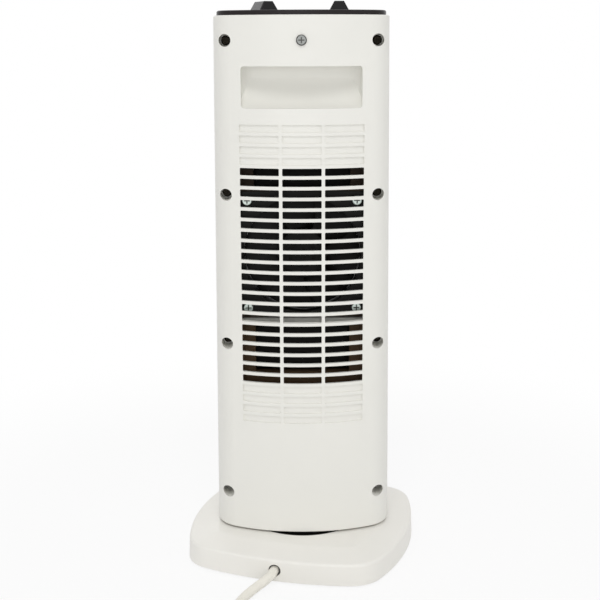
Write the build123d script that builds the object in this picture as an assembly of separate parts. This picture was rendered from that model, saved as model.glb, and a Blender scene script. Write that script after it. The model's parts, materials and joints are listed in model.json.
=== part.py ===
from build123d import *
import os
from math import atan2, cos, degrees, hypot, pi, radians, sin, sqrt, tan

# Free-standing ceramic tower heater on a swinging base, in millimetres
# Origin: middle of the base, on the floor. +Z up, +Y to the back, -Y to the front outlet

# Clearances and cutting
overrun = 1.0                  # how far a cutting shape runs past what it cuts
seat_gap = 0.3                 # between a piece and what it sits on
running_gap = 0.3              # round a turning or sliding piece
shaft_gap = 0.08               # radial, round a spindle in its bearing
fit_gap = 0.05                 # between a piece and the hole that it is pressed or screwed in
trim_gap = 0.4                 # between a panel's edge and its opening

# Tower casing
tower_foot_z = 24.2            # underside of the tower above the floor
tower_top_z = 441.3            # top edge of the white casing
foot_half_width = 72.5
top_half_width = 69.0
seam_y = 7.0                   # where the rear and front covers meet, the widest plane
rear_depth = 39.0              # from the seam to the middle of the back
front_depth = 61.0             # from the seam to the middle of the front
rear_corner_x = 70.0           # where back and flank would meet in a sharp corner
rear_corner_drop = 18.8
rear_corner_radius = 25.0
front_corner_x = 58.0
front_corner_drop = 8.0
front_corner_radius = 25.0
front_flank_bow = 4.0
cover_wall = 2.2
cover_edge = 0.8

# Air inlet in the back: rows of slots in three columns
slot_row_pitch = 8.371
slot_rows = 29
slot_first_open = 4
slot_open_rows = 21
slot_top_row_z = 356.0
slot_height = 5.85
slot_width = 30.6
slot_mullion = 2.6
slot_corner = 0.8
blind_slot_depth = 1.2
inlet_rib_wall = 1.8
inlet_rib_gap = 0.6            # from the end of the slots to the ribs beside them
inlet_sill_drop = 6.0          # the frame's lower rib sits this far below the slots
ledge_z = 199.4                # light shelf below the fan
ledge_height = 3.2
ledge_set_back = 6.0           # its front edge stands this far in front of the fan frame's back

# Dark trays behind the slots above and below the fan
baffle_wall = 1.5
baffle_deep_y = 4.0            # the front of the deep middle part
baffle_deep_half_width = 40.0
baffle_step_y = 19.5           # the front of the shallow part round it
baffle_step_height = 9.0       # of the shallow part's strip below the lower tray's deep part

# Handle pocket in the back
pocket_half_width = 46.8
pocket_low_z = 371.2
pocket_high_z = 403.1
pocket_depth = 25.0
pocket_lip = 4.0               # height of the flat inner face under the top lip
pocket_corner = 2.5
pocket_scoop_y = 6.5           # the scoop's middle point behind its deepest face
pocket_scoop_z = 7.5           # and above its lower edge
pocket_sill_depth = 8.0        # flat sill below the scoop, from the middle of the back
pocket_side_round = 9.0        # radius between the pocket's sides and its deepest face

# Cover screws in deep wells
well_zs = (422.5, 303.6, 182.3, 54.4)
well_edge_distance = 10.1      # from the widest edge of the tower
well_radius = 4.8
well_wall = 1.6
well_floor = 4.0
cover_boss_radius = 4.6
cover_boss_length = 16.0
cover_boss_web = 2.0
screw_radius = 1.9
screw_head_radius = 3.7
screw_head_height = 2.4
screw_head_round = 1.0
screw_cross_width = 0.8
screw_cross_depth = 1.3
screw_cross_share = 0.62
cover_screw_length = 17.0
small_screw_radius = 1.4
small_head_radius = 2.8
small_head_height = 1.8

# Dark control panel on top
panel_rim_z = 445.0
panel_field_z = 442.5
panel_skirt_z = 435.4
panel_rim_width = 3.2
panel_wall = 2.4
panel_edge_radius = 1.3
panel_ledge_height = 2.0
panel_ledge_width = 2.6
panel_screw_z = 422.5
panel_screw_head_radius = 4.1
panel_screw_head_height = 1.9
panel_screw_length = 12.0
panel_lug_half_width = 8.0
panel_lug_low_z = 414.0
panel_lug_thickness = 7.0
panel_lug_gap = 0.6

# Knobs and what they turn
knob_x = 29.5
knob_y = 0.0
knob_skirt_radius = 15.0
knob_skirt_height = 2.1
knob_top_z = 452.3
knob_grip_length = 24.5
knob_grip_width = 15.6
knob_grip_top_length = 21.5
knob_grip_top_width = 7.4
knob_grip_edge = 0.7
switch_edge = 1.4
thermostat_knob_turn = 22.0    # the grip's angle from straight back, degrees
spindle_radius = 3.0
spindle_length = 13.0
spindle_top_gap = 1.8          # plastic left above the spindle
switch_size = 27.0
switch_height = 21.0
thermostat_width = 24.0
thermostat_depth = 38.0
thermostat_height = 15.0
switch_tab_width = 6.3
switch_tab_thickness = 0.8
switch_tab_length = 8.0
switch_tab_spacing = 7.5
mode_switch_tabs = 3
thermostat_tabs = 2
swing_switch_tabs = 2

# Swing button and pilot lamp
button_y = -24.0
button_radius = 7.5
button_travel = 2.5
button_top_z = 446.3
button_cap_height = 6.0
button_stem_radius = 2.5
button_stem_length = 5.0
button_edge = 0.8
button_switch_size = 15.0
button_switch_height = 14.0
lamp_y = 12.0
lamp_radius = 3.5
lamp_stand = 1.0
lamp_length = 14.0
lamp_collar_radius = 4.8
lamp_collar_height = 1.2

# Axial fan
fan_centre_z = 255.4
fan_back_y = 28.0
fan_side = 101.0
fan_depth = 25.0
fan_corner = 5.0
fan_opening_radius = 47.0
fan_screw_spacing = 87.0
fan_screw_head_radius = 4.2
fan_screw_length = 31.0
fan_cup_radius = 21.0
fan_cup_depth = 4.0
fan_strut_width = 4.5
fan_hub_radius = 20.0
fan_hub_depth = 15.0
fan_hub_wall = 1.6
fan_hub_edge = 2.0
fan_tube_set_back = 6.4        # the bearing tube ends this far in front of the frame's back
fan_blades = 7
fan_blade_tip_radius = 45.3
fan_blade_thickness = 1.8
fan_blade_pitch = 28.0
fan_blade_chord = 31.0
fan_shaft_radius = 1.5
fan_bearing_radius = 3.6
fan_stator_radius = 16.0
fan_stator_depth = 9.0
fan_stator_notch = 3.2

# Duct and ceramic heating element
duct_wall = 1.8
duct_front_y = -38.0
duct_ear_radius = 5.0
duct_ear_thickness = 3.0
duct_ear_x = 56.0
duct_ear_height = 38.0         # above and below the fan's middle
duct_ear_front_y = -27.0
duct_screw_length = 8.6
duct_post_radius = 3.6
duct_boss_radius = 6.0
element_front_y = -33.0
element_depth = 15.0
element_end_height = 7.0
element_banks = 5
element_bar_width = 5.0
element_fin_pitch = 3.2
element_fin_thickness = 0.4
element_bar_wall = 0.8
element_stone_length = 17.0
element_stones = 4
element_tab_length = 14.0
element_tab_width = 6.3
element_tab_thickness = 0.8
cutout_radius = 8.0
cutout_height = 6.0
cutout_cap_height = 3.0
cutout_cap_radius = 6.4
cutout_ear_length = 14.0
cutout_plate = 1.0
fuse_radius = 2.0
fuse_length = 11.0
fuse_lead_radius = 0.6
fuse_lead_length = 9.0
fuse_y = -10.0

# Front outlet grille
outlet_half_width = 46.0
outlet_low_z = 146.0
outlet_high_z = 364.0
outlet_corner = 10.0
outlet_set_in = 0.8
outlet_wall = 2.0
outlet_flange = 4.0
outlet_rim = 5.0
outlet_bar_pitch = 9.5
outlet_bar_height = 2.6
outlet_stile_width = 2.6
outlet_backing = 1.6           # left behind the grooves that are not open

# Tower foot and the pivot that it turns on
foot_plate_height = 3.0
foot_ledge_height = 2.0
foot_ledge_width = 5.0
foot_screw_x = 46.0
foot_screw_rear_y = 28.0
foot_screw_front_y = -32.0
foot_boss_radius = 4.2
foot_boss_height = 9.0
foot_screw_length = 9.0
spigot_radius = 23.5
spigot_wall = 3.5
spigot_boss_circle = 15.5
spigot_boss_radius = 3.8
wire_hole_radius = 10.5
pivot_boss_radius = 31.0
pivot_disc_radius = 55.5
pivot_disc_height = 1.8
turntable_radius = 49.2        # the round opening in the base's top
retainer_radius = 31.0
retainer_height = 2.4
drive_arm_width = 17.0
terminal_size = (26.0, 20.0, 13.0)
terminal_stand = 14.0
terminal_x = -38.0
terminal_y = -4.0
terminal_screw_radius = 2.2
terminal_poles = 3
terminal_pitch = 7.5
tip_switch_size = (17.0, 22.0, 28.0)
tip_switch_x = 36.0
tip_switch_y = -12.0
tip_switch_round = 1.5

# Base
base_half_width = 92.7
base_half_depth = 89.2
base_side_bow = 17.4
base_end_bow = 10.8
base_corner_radius = 29.5
base_turn = -15.5              # the base's angle to the tower in the rest pose, degrees
base_low_z = 1.2
base_crease_z = 18.7
base_top_z = 22.8
base_wall_draft = 2.0          # degrees
base_slope_run = 24.0          # from the crease inwards to the level middle
base_crease_round = 2.5
base_wall = 2.2
base_plate_height = 2.0
base_boss_radius = 4.5
base_boss_x = 68.0
base_boss_y = 26.0
base_screw_length = 9.0
foot_pad_radius = 8.0
foot_pad_x = 62.0
foot_pad_y = 60.0
foot_pad_plug_radius = 2.5
cord_hole_radius = 5.0
cord_hole_z = 9.4
exit_overhang = 0.3            # the inner lead ends this far outside the base
cord_hole_shift = 0.7          # the hole's middle lies this far up and aside of the cord's
grommet_radius = 6.0
grommet_length = 2.0
grommet_set_back = 3.0         # behind the outer face
clamp_y = 62.0
clamp_width = 24.0
clamp_thickness = 9.0
clamp_top_wall = 3.0
clamp_screw_x = 8.5

# Swing drive: a slow motor in the base turns a crank whose roller runs in the tower's slotted arm
drive_distance = 34.0          # from the pivot to the motor's shaft
swing_half_angle = 30.0        # each way from the middle of the swing, degrees
crank_per_swing = 3.3
motor_radius = 21.0
motor_height = 8.1
motor_edge = 1.2
motor_ear_x = 26.0
motor_ear_radius = 3.5
motor_ear_height = 1.6
motor_shaft_radius = 2.5
crank_disc_height = 2.0
crank_rim = 4.0
crank_pin_radius = 1.5
crank_roller_radius = 3.0
slot_side_gap = 1.6            # each side of the roller in the arm's slot
slot_end_gap = 1.5

# Mains cord
cord_diameter = 7.4
corner_run_share = 0.45
inner_bend_radius = 13.0
inner_lead_top_z = 28.5
wire_radius = 1.3
wire_spacing = 3.4
wire_bend_radius = 8.0
wire_x = -58.5
wire_y = -15.0
wire_rise = 16.0
wire_shift = 20.0              # height over which a wire moves across to the casing's side
wire_end_x = -38.5
wire_end_drop = 11.0           # of the level run below the switch

# Coil of the put-away cord, wound anticlockwise in two layers
coil_x = 4.5
coil_y = 201.0
coil_outer_radius = 49.5       # to the middle of the cord in the outermost half turn
coil_pitch = 8.2               # from one turn to the next, and from layer to layer
coil_half_turns = 6            # in each layer
coil_end_straight = 7.4

# Plug
plug_face_radius = 18.5
plug_face_length = 16.0
plug_neck_radius = 11.0
plug_body_length = 36.0
plug_edge = 2.0
plug_relief_length = 26.0
plug_relief_radius = 5.2
plug_pin_radius = 2.4
plug_pin_length = 19.0
plug_pin_spacing = 19.0

os.makedirs("parts", exist_ok=True)

cord_radius = cord_diameter / 2
tower_height = tower_top_z - tower_foot_z
tower_taper = (foot_half_width - top_half_width) / tower_height
back_y = seam_y + rear_depth
front_y = seam_y - front_depth
low_end = (Align.CENTER, Align.CENTER, Align.MIN)


# Basic shapes

def block(x_span, y_span, z_span):
    size = [max(span) - min(span) for span in (x_span, y_span, z_span)]
    return Pos(min(x_span), min(y_span), min(z_span)) * Box(*size, align=(Align.MIN,) * 3)


def rod(radius, start, end):
    line = Vector(*end) - Vector(*start)
    return Plane(origin=start, z_dir=line) * Cylinder(radius, line.length, align=low_end)


def pipe(outer, inner, start, end):
    line = (Vector(*end) - Vector(*start)).normalized() * overrun
    return rod(outer, start, end) - rod(inner, Vector(*start) - line, Vector(*end) + line)


def prism_y(sketch, y_low, y_high):
    # The sketch lies in X and Z and is drawn out along Y
    plane = Plane(origin=(0, y_high, 0), x_dir=(1, 0, 0), z_dir=(0, -1, 0))
    return extrude(plane * sketch, y_high - y_low)


def prism_x(sketch, half_width):
    # The sketch lies in Y and Z and is drawn out along X, both ways
    plane = Plane(origin=(-half_width, 0, 0), x_dir=(0, 1, 0), z_dir=(1, 0, 0))
    return extrude(plane * sketch, 2 * half_width)


def fuse(pieces):
    whole = pieces[0]
    for piece in pieces[1:]:
        whole = whole + piece
    return whole


def screw(head_radius, head_height, shank_radius, length, seat, direction, edge=screw_head_round):
    # Pan-head cross screw: seat is the middle of the head's underside, direction points to its tip
    head = Cylinder(head_radius, head_height, align=low_end)
    head = fillet(head.edges().filter_by(GeomType.CIRCLE).sort_by(Axis.Z)[-1:], edge)
    arm = 2 * head_radius * screw_cross_share
    depth = min(screw_cross_depth, head_height * screw_cross_share)
    for turn in (0, 90):
        slot = Box(arm, screw_cross_width, depth, align=low_end)
        head = head - Pos(0, 0, head_height - depth) * Rot(0, 0, turn) * slot
    body = head + Pos(0, 0, -length) * Cylinder(shank_radius, length, align=low_end)
    return Plane(origin=seat, z_dir=Vector(*direction) * -1) * body


def small_screw(length, seat, direction, edge=small_head_height / 2):
    return screw(small_head_radius, small_head_height, small_screw_radius, length, seat, direction, edge)


# Tower outline and the surfaces that follow it

def bowed_circle(start, end, bow):
    # Centre and radius of the circle through both points that bulges by bow, away from the tower's axis
    middle = ((start[0] + end[0]) / 2, (start[1] + end[1]) / 2)
    half = hypot(end[0] - start[0], end[1] - start[1]) / 2
    radius = (half ** 2 + bow ** 2) / (2 * bow)
    normal = ((end[1] - start[1]) / (2 * half), (start[0] - end[0]) / (2 * half))
    side = -1 if normal[0] * middle[0] + normal[1] * middle[1] > 0 else 1
    back = side * (radius - bow)
    return (middle[0] + back * normal[0], middle[1] + back * normal[1]), radius


def shrunk_arc(circle, inset, start, end):
    # The shorter arc between two points of the circle moved inwards by inset
    centre, radius = circle
    middle = ((start[0] + end[0]) / 2 - centre[0], (start[1] + end[1]) / 2 - centre[1])
    scale = (radius - inset) / hypot(*middle)
    return ThreePointArc(start, (centre[0] + scale * middle[0], centre[1] + scale * middle[1]), end)


def meet_circles(first, second, inset, near):
    # Where two circles cross once both have moved inwards, at the crossing nearest a point
    (ax, ay), ar = first
    (bx, by), br = second
    ar, br = ar - inset, br - inset
    gap = hypot(bx - ax, by - ay)
    along = (gap ** 2 + ar ** 2 - br ** 2) / (2 * gap)
    off = sqrt(ar ** 2 - along ** 2)
    ux, uy = (bx - ax) / gap, (by - ay) / gap
    spots = [(ax + along * ux + side * off * uy, ay + along * uy - side * off * ux) for side in (-1, 1)]
    return min(spots, key=lambda spot: hypot(spot[0] - near[0], spot[1] - near[1]))


def meet_line(circle, start, end, inset, near):
    # Where a circle and a line, both moved inwards, cross
    (cx, cy), radius = circle
    length = hypot(end[0] - start[0], end[1] - start[1])
    ux, uy = (end[0] - start[0]) / length, (end[1] - start[1]) / length
    px, py = start[0] + inset * uy, start[1] - inset * ux
    along = (cx - px) * ux + (cy - py) * uy
    off = (cx - px) * uy - (cy - py) * ux
    half = sqrt((radius - inset) ** 2 - off ** 2)
    spots = [(px + (along + side * half) * ux, py + (along + side * half) * uy) for side in (-1, 1)]
    return min(spots, key=lambda spot: hypot(spot[0] - near[0], spot[1] - near[1]))


def mirrored(point):
    return (-point[0], point[1])


def round_corner(face, corner, radius):
    spots = [v for v in face.vertices() if hypot(abs(v.X) - corner[0], v.Y - corner[1]) < overrun]
    return fillet(spots, radius)


def remade(face):
    # Made anew from its outline, so that a tapered extrusion of it goes upwards
    return Face(face.outer_wire())


def tower_outline(inset):
    rear_corner = (rear_corner_x, back_y - rear_corner_drop)
    front_corner = (front_corner_x, front_y + front_corner_drop)
    seam = (foot_half_width, seam_y)
    back = bowed_circle(mirrored(rear_corner), rear_corner, rear_corner_drop)
    flank = bowed_circle(seam, front_corner, front_flank_bow)
    front = bowed_circle(front_corner, mirrored(front_corner), front_corner_drop)
    rear_meet = meet_line(back, rear_corner, seam, inset, rear_corner)
    seam_meet = meet_line(flank, rear_corner, seam, inset, seam)
    front_meet = meet_circles(flank, front, inset, front_corner)
    left_flank = (mirrored(flank[0]), flank[1])
    face = make_face(Curve() + [
        shrunk_arc(back, inset, mirrored(rear_meet), rear_meet),
        Line(rear_meet, seam_meet),
        shrunk_arc(flank, inset, seam_meet, front_meet),
        shrunk_arc(front, inset, front_meet, mirrored(front_meet)),
        shrunk_arc(left_flank, inset, mirrored(front_meet), mirrored(seam_meet)),
        Line(mirrored(seam_meet), mirrored(rear_meet)),
    ])
    face = round_corner(face, rear_meet, rear_corner_radius - inset)
    return remade(round_corner(face, front_meet, front_corner_radius - inset).face())


def tower_body(inset, z_low, z_high):
    # The tower narrows steadily upwards, so a higher section starts further in
    section = tower_outline(inset + (z_low - tower_foot_z) * tower_taper)
    return extrude(Pos(0, 0, z_low) * section, z_high - z_low, taper=degrees(atan2(tower_taper, 1)))


def half_width_at(z):
    return foot_half_width - (z - tower_foot_z) * tower_taper


def back_at(z):
    return back_y - (z - tower_foot_z) * tower_taper


def front_at(z):
    return front_y + (z - tower_foot_z) * tower_taper


reach = 2 * foot_half_width
rear_half = block((-reach, reach), (seam_y, reach), (0, 2 * tower_top_z))
front_half = block((-reach, reach), (-reach, seam_y), (0, 2 * tower_top_z))
hollow = tower_body(cover_wall, tower_foot_z - overrun, tower_top_z + overrun)


def casing_half(half):
    # One cover's shell, with its outer top and bottom edges eased
    body = tower_body(0, tower_foot_z, tower_top_z) & half
    ends = body.faces().sort_by(Axis.Z)
    rims = [edge for edge in ends[0].edges() + ends[-1].edges() if abs(edge.center().Y - seam_y) > fit_gap]
    return chamfer(rims, cover_edge) - hollow


rib_limit = tower_body(cover_wall / 2, tower_foot_z + overrun, tower_top_z - overrun)


def inner_ring(width, z_low, z_high):
    # A ledge all round the inside of the casing, bedded half into its wall
    outer = tower_body(cover_wall / 2, z_low, z_high)
    return outer - tower_body(cover_wall + width, z_low - overrun, z_high + overrun)


foot_ledge_z = tower_foot_z + foot_plate_height + seat_gap
panel_ledge_z = panel_skirt_z - seat_gap - panel_ledge_height
ledges = inner_ring(foot_ledge_width, foot_ledge_z, foot_ledge_z + foot_ledge_height)
ledges = ledges + inner_ring(panel_ledge_width, panel_ledge_z, panel_ledge_z + panel_ledge_height)
wells = [(side * (half_width_at(z) - well_edge_distance), z) for z in well_zs for side in (-1, 1)]
foot_screw_places = [(side * foot_screw_x, y) for y in (foot_screw_front_y, foot_screw_rear_y) for side in (-1, 1)]
foot_boss_low_z = foot_ledge_z
foot_boss_high_z = foot_ledge_z + foot_boss_height


def foot_bosses(rear):
    # Screw bosses for the foot plate, each tied to the casing by a web
    bosses = []
    for x, y in foot_screw_places:
        if (y > seam_y) == rear:
            wall_y = reach if rear else -reach
            web_x = (x - cover_boss_web / 2, x + cover_boss_web / 2)
            web = block(web_x, (y, wall_y), (foot_boss_low_z, foot_boss_high_z))
            post = rod(foot_boss_radius, (x, y, foot_boss_low_z), (x, y, foot_boss_high_z))
            bosses.append((post + web) & rib_limit)
    return bosses


def foot_boss_holes():
    top = foot_boss_high_z + overrun
    return fuse([rod(small_screw_radius + fit_gap, (x, y, 0), (x, y, top)) for x, y in foot_screw_places])


# Rear cover

def slot_sketch(rows):
    step = slot_width + slot_mullion
    cell = RectangleRounded(slot_width, slot_height, slot_corner)
    spots = [(column * step, slot_top_row_z - row * slot_row_pitch) for row in rows for column in (-1, 0, 1)]
    return Sketch() + [Pos(x, z) * cell for x, z in spots]


slot_half_width = 1.5 * slot_width + slot_mullion
open_rows = range(slot_first_open, slot_first_open + slot_open_rows)
blind_rows = [row for row in range(slot_rows) if row not in open_rows]
inlet_top_z = slot_top_row_z - (slot_first_open - 0.5) * slot_row_pitch
inlet_low_z = slot_top_row_z - (slot_first_open + slot_open_rows - 0.5) * slot_row_pitch - inlet_sill_drop


def pocket_profile(grow):
    # Side view of the handle pocket: a flat inner face under the lip, then a scoop down to the back
    deep_y = back_at(pocket_high_z) - pocket_depth - grow
    out_y = back_y + overrun
    top_z = pocket_high_z + grow
    knee_z = pocket_high_z - pocket_lip
    low_z = pocket_low_z - grow
    edge_y = back_at(pocket_low_z) - pocket_sill_depth
    middle = (deep_y + pocket_scoop_y, pocket_low_z + pocket_scoop_z - grow)
    return make_face(Curve() + [
        Line((out_y, top_z), (deep_y, top_z)),
        Line((deep_y, top_z), (deep_y, knee_z)),
        ThreePointArc((deep_y, knee_z), middle, (edge_y, low_z)),
        Line((edge_y, low_z), (out_y, low_z)),
        Line((out_y, low_z), (out_y, top_z)),
    ])


def pocket_shape(grow):
    shape = prism_x(pocket_profile(grow), pocket_half_width + grow)
    height = (pocket_high_z - pocket_low_z) + 2 * grow
    frame = RectangleRounded(2 * (pocket_half_width + grow), height, pocket_corner + grow)
    middle_z = (pocket_high_z + pocket_low_z) / 2
    shape = shape & prism_y(Pos(0, middle_z) * frame, seam_y - reach, back_y + 2 * overrun)
    depth = back_y + overrun - (back_at(pocket_high_z) - pocket_depth - grow)
    plan = RectangleRounded(2 * (pocket_half_width + grow), 2 * depth, pocket_side_round + grow)
    return shape & extrude(Pos(0, back_y + overrun) * plan, 2 * tower_top_z)


def rear_ribs():
    # Two upright ribs, top and bottom ribs and a shelf frame the inlet inside
    start_y = fan_back_y + trim_gap
    inner_x = slot_half_width + inlet_rib_gap
    outer_x = inner_x + inlet_rib_wall
    ribs = []
    for side in (-1, 1):
        span = (side * inner_x, side * outer_x)
        ribs.append(block(span, (start_y, reach), (inlet_low_z, inlet_top_z)))
    for z in (inlet_low_z - inlet_rib_wall, inlet_top_z):
        ribs.append(block((-outer_x, outer_x), (start_y, reach), (z, z + inlet_rib_wall)))
    shelf_y = fan_back_y - ledge_set_back
    ribs.append(block((-inner_x, inner_x), (shelf_y, reach), (ledge_z, ledge_z + ledge_height)))
    ribs[-1] = ribs[-1] + fuse([block((side * inner_x - overrun, side * inner_x + overrun), (start_y, reach),
                                      (ledge_z, ledge_z + ledge_height)) for side in (-1, 1)])
    return [rib & rib_limit for rib in ribs]


def rear_cover():
    notch_x = panel_lug_half_width + trim_gap
    notch = block((-notch_x, notch_x), (seam_y, reach), (panel_ledge_z - overrun, tower_top_z))
    cover = casing_half(rear_half) + ((ledges & rear_half) - notch)
    tubes = []
    bores = []
    for x, z in wells:
        tubes.append(rod(well_radius + well_wall, (x, seam_y, z), (x, reach, z)) & rib_limit)
        bores.append(rod(well_radius, (x, seam_y + well_floor, z), (x, reach, z)))
        bores.append(rod(screw_radius + fit_gap, (x, 0, z), (x, reach, z)))
    tubes = [tube & rear_half for tube in tubes]
    cover = fuse([cover] + tubes + rear_ribs() + foot_bosses(True) + [pocket_shape(cover_wall) & rib_limit])
    cover = cover - pocket_shape(0) - fuse(bores) - foot_boss_holes()
    hole = rod(screw_radius + fit_gap, (0, seam_y, panel_screw_z), (0, reach, panel_screw_z))
    through = prism_y(slot_sketch(open_rows), fan_back_y + trim_gap, back_y + overrun)
    relief = prism_y(slot_sketch(blind_rows), seam_y, back_y + overrun)
    relief = relief - tower_body(blind_slot_depth, tower_foot_z, tower_top_z)
    through = through & tower_body(-overrun, tower_foot_z, tower_top_z)
    shield = tower_body(cover_wall + fit_gap, tower_foot_z, tower_top_z)
    return cover - hole - (through - shield) - relief


# Front cover

def front_cover():
    cover = casing_half(front_half) + (ledges & front_half)
    width = 2 * outlet_half_width
    height = outlet_high_z - outlet_low_z
    window = Pos(0, (outlet_high_z + outlet_low_z) / 2) * RectangleRounded(width, height, outlet_corner)
    cover = cover - prism_y(window, -reach, -cover_boss_length)
    bosses = []
    holes = []
    for x, z in wells:
        end_y = seam_y - cover_boss_length
        wall_x = reach if x > 0 else -reach
        web_z = (z - cover_boss_web / 2, z + cover_boss_web / 2)
        web = block((x, wall_x), (end_y, seam_y), web_z)
        boss = rod(cover_boss_radius, (x, end_y, z), (x, seam_y, z))
        bosses.append((boss + web) & rib_limit)
        holes.append(rod(screw_radius + fit_gap, (x, end_y + cover_boss_web, z), (x, seam_y + overrun, z)))
    posts = []
    for x, z in duct_ears():
        post = rod(duct_post_radius, (x, -reach, z), (x, duct_ear_front_y, z)) & rib_limit
        posts.append(post)
        holes.append(rod(small_screw_radius + fit_gap, (x, duct_ear_back_y - duct_screw_length, z), (x, 0, z)))
    return fuse([cover] + bosses + posts + foot_bosses(False)) - fuse(holes) - foot_boss_holes()


duct_ear_back_y = duct_ear_front_y + duct_ear_thickness


def duct_ears():
    return [(side * duct_ear_x, fan_centre_z + level * duct_ear_height) for side in (-1, 1) for level in (-1, 1)]


def front_grille():
    # A framed panel set into the window, with a flange behind the cover's wall, open only before the duct
    width = 2 * (outlet_half_width - trim_gap)
    height = outlet_high_z - outlet_low_z - 2 * trim_gap
    middle_z = (outlet_high_z + outlet_low_z) / 2
    end_y = -cover_boss_length
    back_inset = outlet_set_in + outlet_wall
    face = tower_body(outlet_set_in, tower_foot_z, tower_top_z)
    skin = face - tower_body(back_inset + cover_wall, tower_foot_z, tower_top_z)
    panel = Pos(0, middle_z) * RectangleRounded(width, height, outlet_corner - trim_gap)
    front = skin & prism_y(panel, -reach, end_y)
    flange_inset = cover_wall + seat_gap
    plate = tower_body(flange_inset, tower_foot_z, tower_top_z)
    plate = plate - tower_body(back_inset + cover_wall, tower_foot_z, tower_top_z)
    grow = 2 * (outlet_flange + trim_gap)
    wide = Pos(0, middle_z) * RectangleRounded(width + grow, height + grow, outlet_corner + outlet_flange)
    flange = plate & prism_y(wide, -reach, end_y)
    gap_height = outlet_bar_pitch - outlet_bar_height
    rows = int((height - 2 * outlet_rim + outlet_bar_height) / outlet_bar_pitch)
    field = rows * outlet_bar_pitch - outlet_bar_height
    low = middle_z - field / 2 + gap_height / 2
    half = width / 2 - outlet_rim
    cell_width = half - outlet_stile_width / 2
    cell = RectangleRounded(cell_width, gap_height, slot_corner)
    places = [low + row * outlet_bar_pitch for row in range(rows)]
    groove_limit = tower_body(back_inset + cover_wall - outlet_backing, tower_foot_z, tower_top_z)
    panel = front + flange
    for is_open in (True, False):
        heights = [z for z in places if (abs(z - fan_centre_z) < duct_inner - gap_height / 2) == is_open]
        spots = [(side * (half - cell_width / 2), z) for z in heights for side in (-1, 1)]
        gaps = prism_y(Sketch() + [Pos(x, z) * cell for x, z in spots], -reach, end_y)
        panel = panel - (gaps if is_open else gaps - groove_limit)
    return panel


# Control panel and its fittings

def panel_body(extra, z_low, z_high):
    return tower_body(cover_wall + trim_gap + extra, z_low, z_high)


def top_panel():
    plug = panel_body(0, panel_skirt_z, panel_rim_z)
    plug = fillet(plug.faces().sort_by(Axis.Z)[-1].edges(), panel_edge_radius)
    plug = plug - panel_body(panel_rim_width, panel_field_z, panel_rim_z + overrun)
    under_z = panel_field_z - panel_wall
    plug = plug - panel_body(panel_wall, panel_skirt_z - overrun, under_z)
    lug_back = back_at(panel_screw_z) - cover_wall - panel_lug_gap
    lug_x = (-panel_lug_half_width, panel_lug_half_width)
    lug = block(lug_x, (lug_back - panel_lug_thickness, lug_back), (panel_lug_low_z, under_z + overrun))
    skirt_back = back_at(panel_skirt_z) - cover_wall - trim_gap
    lug_root_y = (lug_back - panel_lug_thickness, skirt_back - overrun)
    lug = lug + block(lug_x, lug_root_y, (panel_skirt_z, under_z + overrun))
    plug = plug + (lug & panel_body(0, tower_foot_z, panel_rim_z))
    clear = running_gap + fit_gap
    holes = [rod(spindle_radius + clear, (x, knob_y, 0), (x, knob_y, knob_top_z)) for x in (-knob_x, knob_x)]
    holes.append(rod(button_radius + running_gap, (0, button_y, under_z - overrun), (0, button_y, panel_rim_z)))
    holes.append(rod(lamp_radius + fit_gap, (0, lamp_y, under_z - overrun), (0, lamp_y, panel_rim_z)))
    tip_y = lug_back - panel_lug_thickness - overrun
    holes.append(rod(screw_radius + fit_gap, (0, tip_y, panel_screw_z), (0, reach, panel_screw_z)))
    return plug - fuse(holes)


def knob(x, turn):
    skirt_z = panel_field_z + running_gap
    skirt = rod(knob_skirt_radius, (x, knob_y, skirt_z), (x, knob_y, skirt_z + knob_skirt_height))
    skirt = chamfer(skirt.edges().filter_by(GeomType.CIRCLE).sort_by(Axis.Z)[-1:], knob_grip_edge)
    grip_z = skirt_z + knob_skirt_height
    base = Pos(x, knob_y, grip_z) * Rot(0, 0, turn) * Rectangle(knob_grip_width, knob_grip_length)
    top = Pos(x, knob_y, knob_top_z) * Rot(0, 0, turn) * Rectangle(knob_grip_top_width, knob_grip_top_length)
    grip = loft([base, top])
    grip = fillet(grip.edges().filter_by_position(Axis.Z, grip_z + knob_grip_edge, knob_top_z), knob_grip_edge)
    bore_top = knob_top_z - spindle_top_gap
    return skirt + grip - rod(spindle_radius + fit_gap, (x, knob_y, 0), (x, knob_y, bore_top))


def spindle(x):
    top = knob_top_z - spindle_top_gap - fit_gap
    bar = rod(spindle_radius, (x, knob_y, top - spindle_length - panel_wall), (x, knob_y, top))
    return bar


def spindle_bore(x):
    foot = knob_top_z - spindle_top_gap - spindle_length - panel_wall - running_gap
    return rod(spindle_radius + shaft_gap, (x, knob_y, foot), (x, knob_y, panel_rim_z))


def tabs(x, y, z_top, count):
    # Push-on terminals under a switch
    half = switch_tab_width / 2
    pieces = []
    for index in range(count):
        tab_y = y + (index - (count - 1) / 2) * switch_tab_spacing
        thick = (tab_y - switch_tab_thickness / 2, tab_y + switch_tab_thickness / 2)
        pieces.append(block((x - half, x + half), thick, (z_top - switch_tab_length, z_top + overrun)))
    return pieces


def mode_switch():
    top = panel_field_z - panel_wall
    half = switch_size / 2
    body = block((-knob_x - half, half - knob_x), (knob_y - half, knob_y + half), (top - switch_height, top))
    body = fillet(body.edges().filter_by(Axis.Z), switch_edge)
    return fuse([body] + tabs(-knob_x, knob_y, top - switch_height, mode_switch_tabs)) - spindle_bore(-knob_x)


def thermostat():
    top = panel_field_z - panel_wall
    half_x = thermostat_width / 2
    half_y = thermostat_depth / 2
    low = top - thermostat_height
    body = block((knob_x - half_x, knob_x + half_x), (knob_y - half_y, knob_y + half_y), (low, top))
    body = chamfer(body.edges().filter_by(Axis.Z), switch_edge)
    return fuse([body] + tabs(knob_x, knob_y, low, thermostat_tabs)) - spindle_bore(knob_x)


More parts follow.
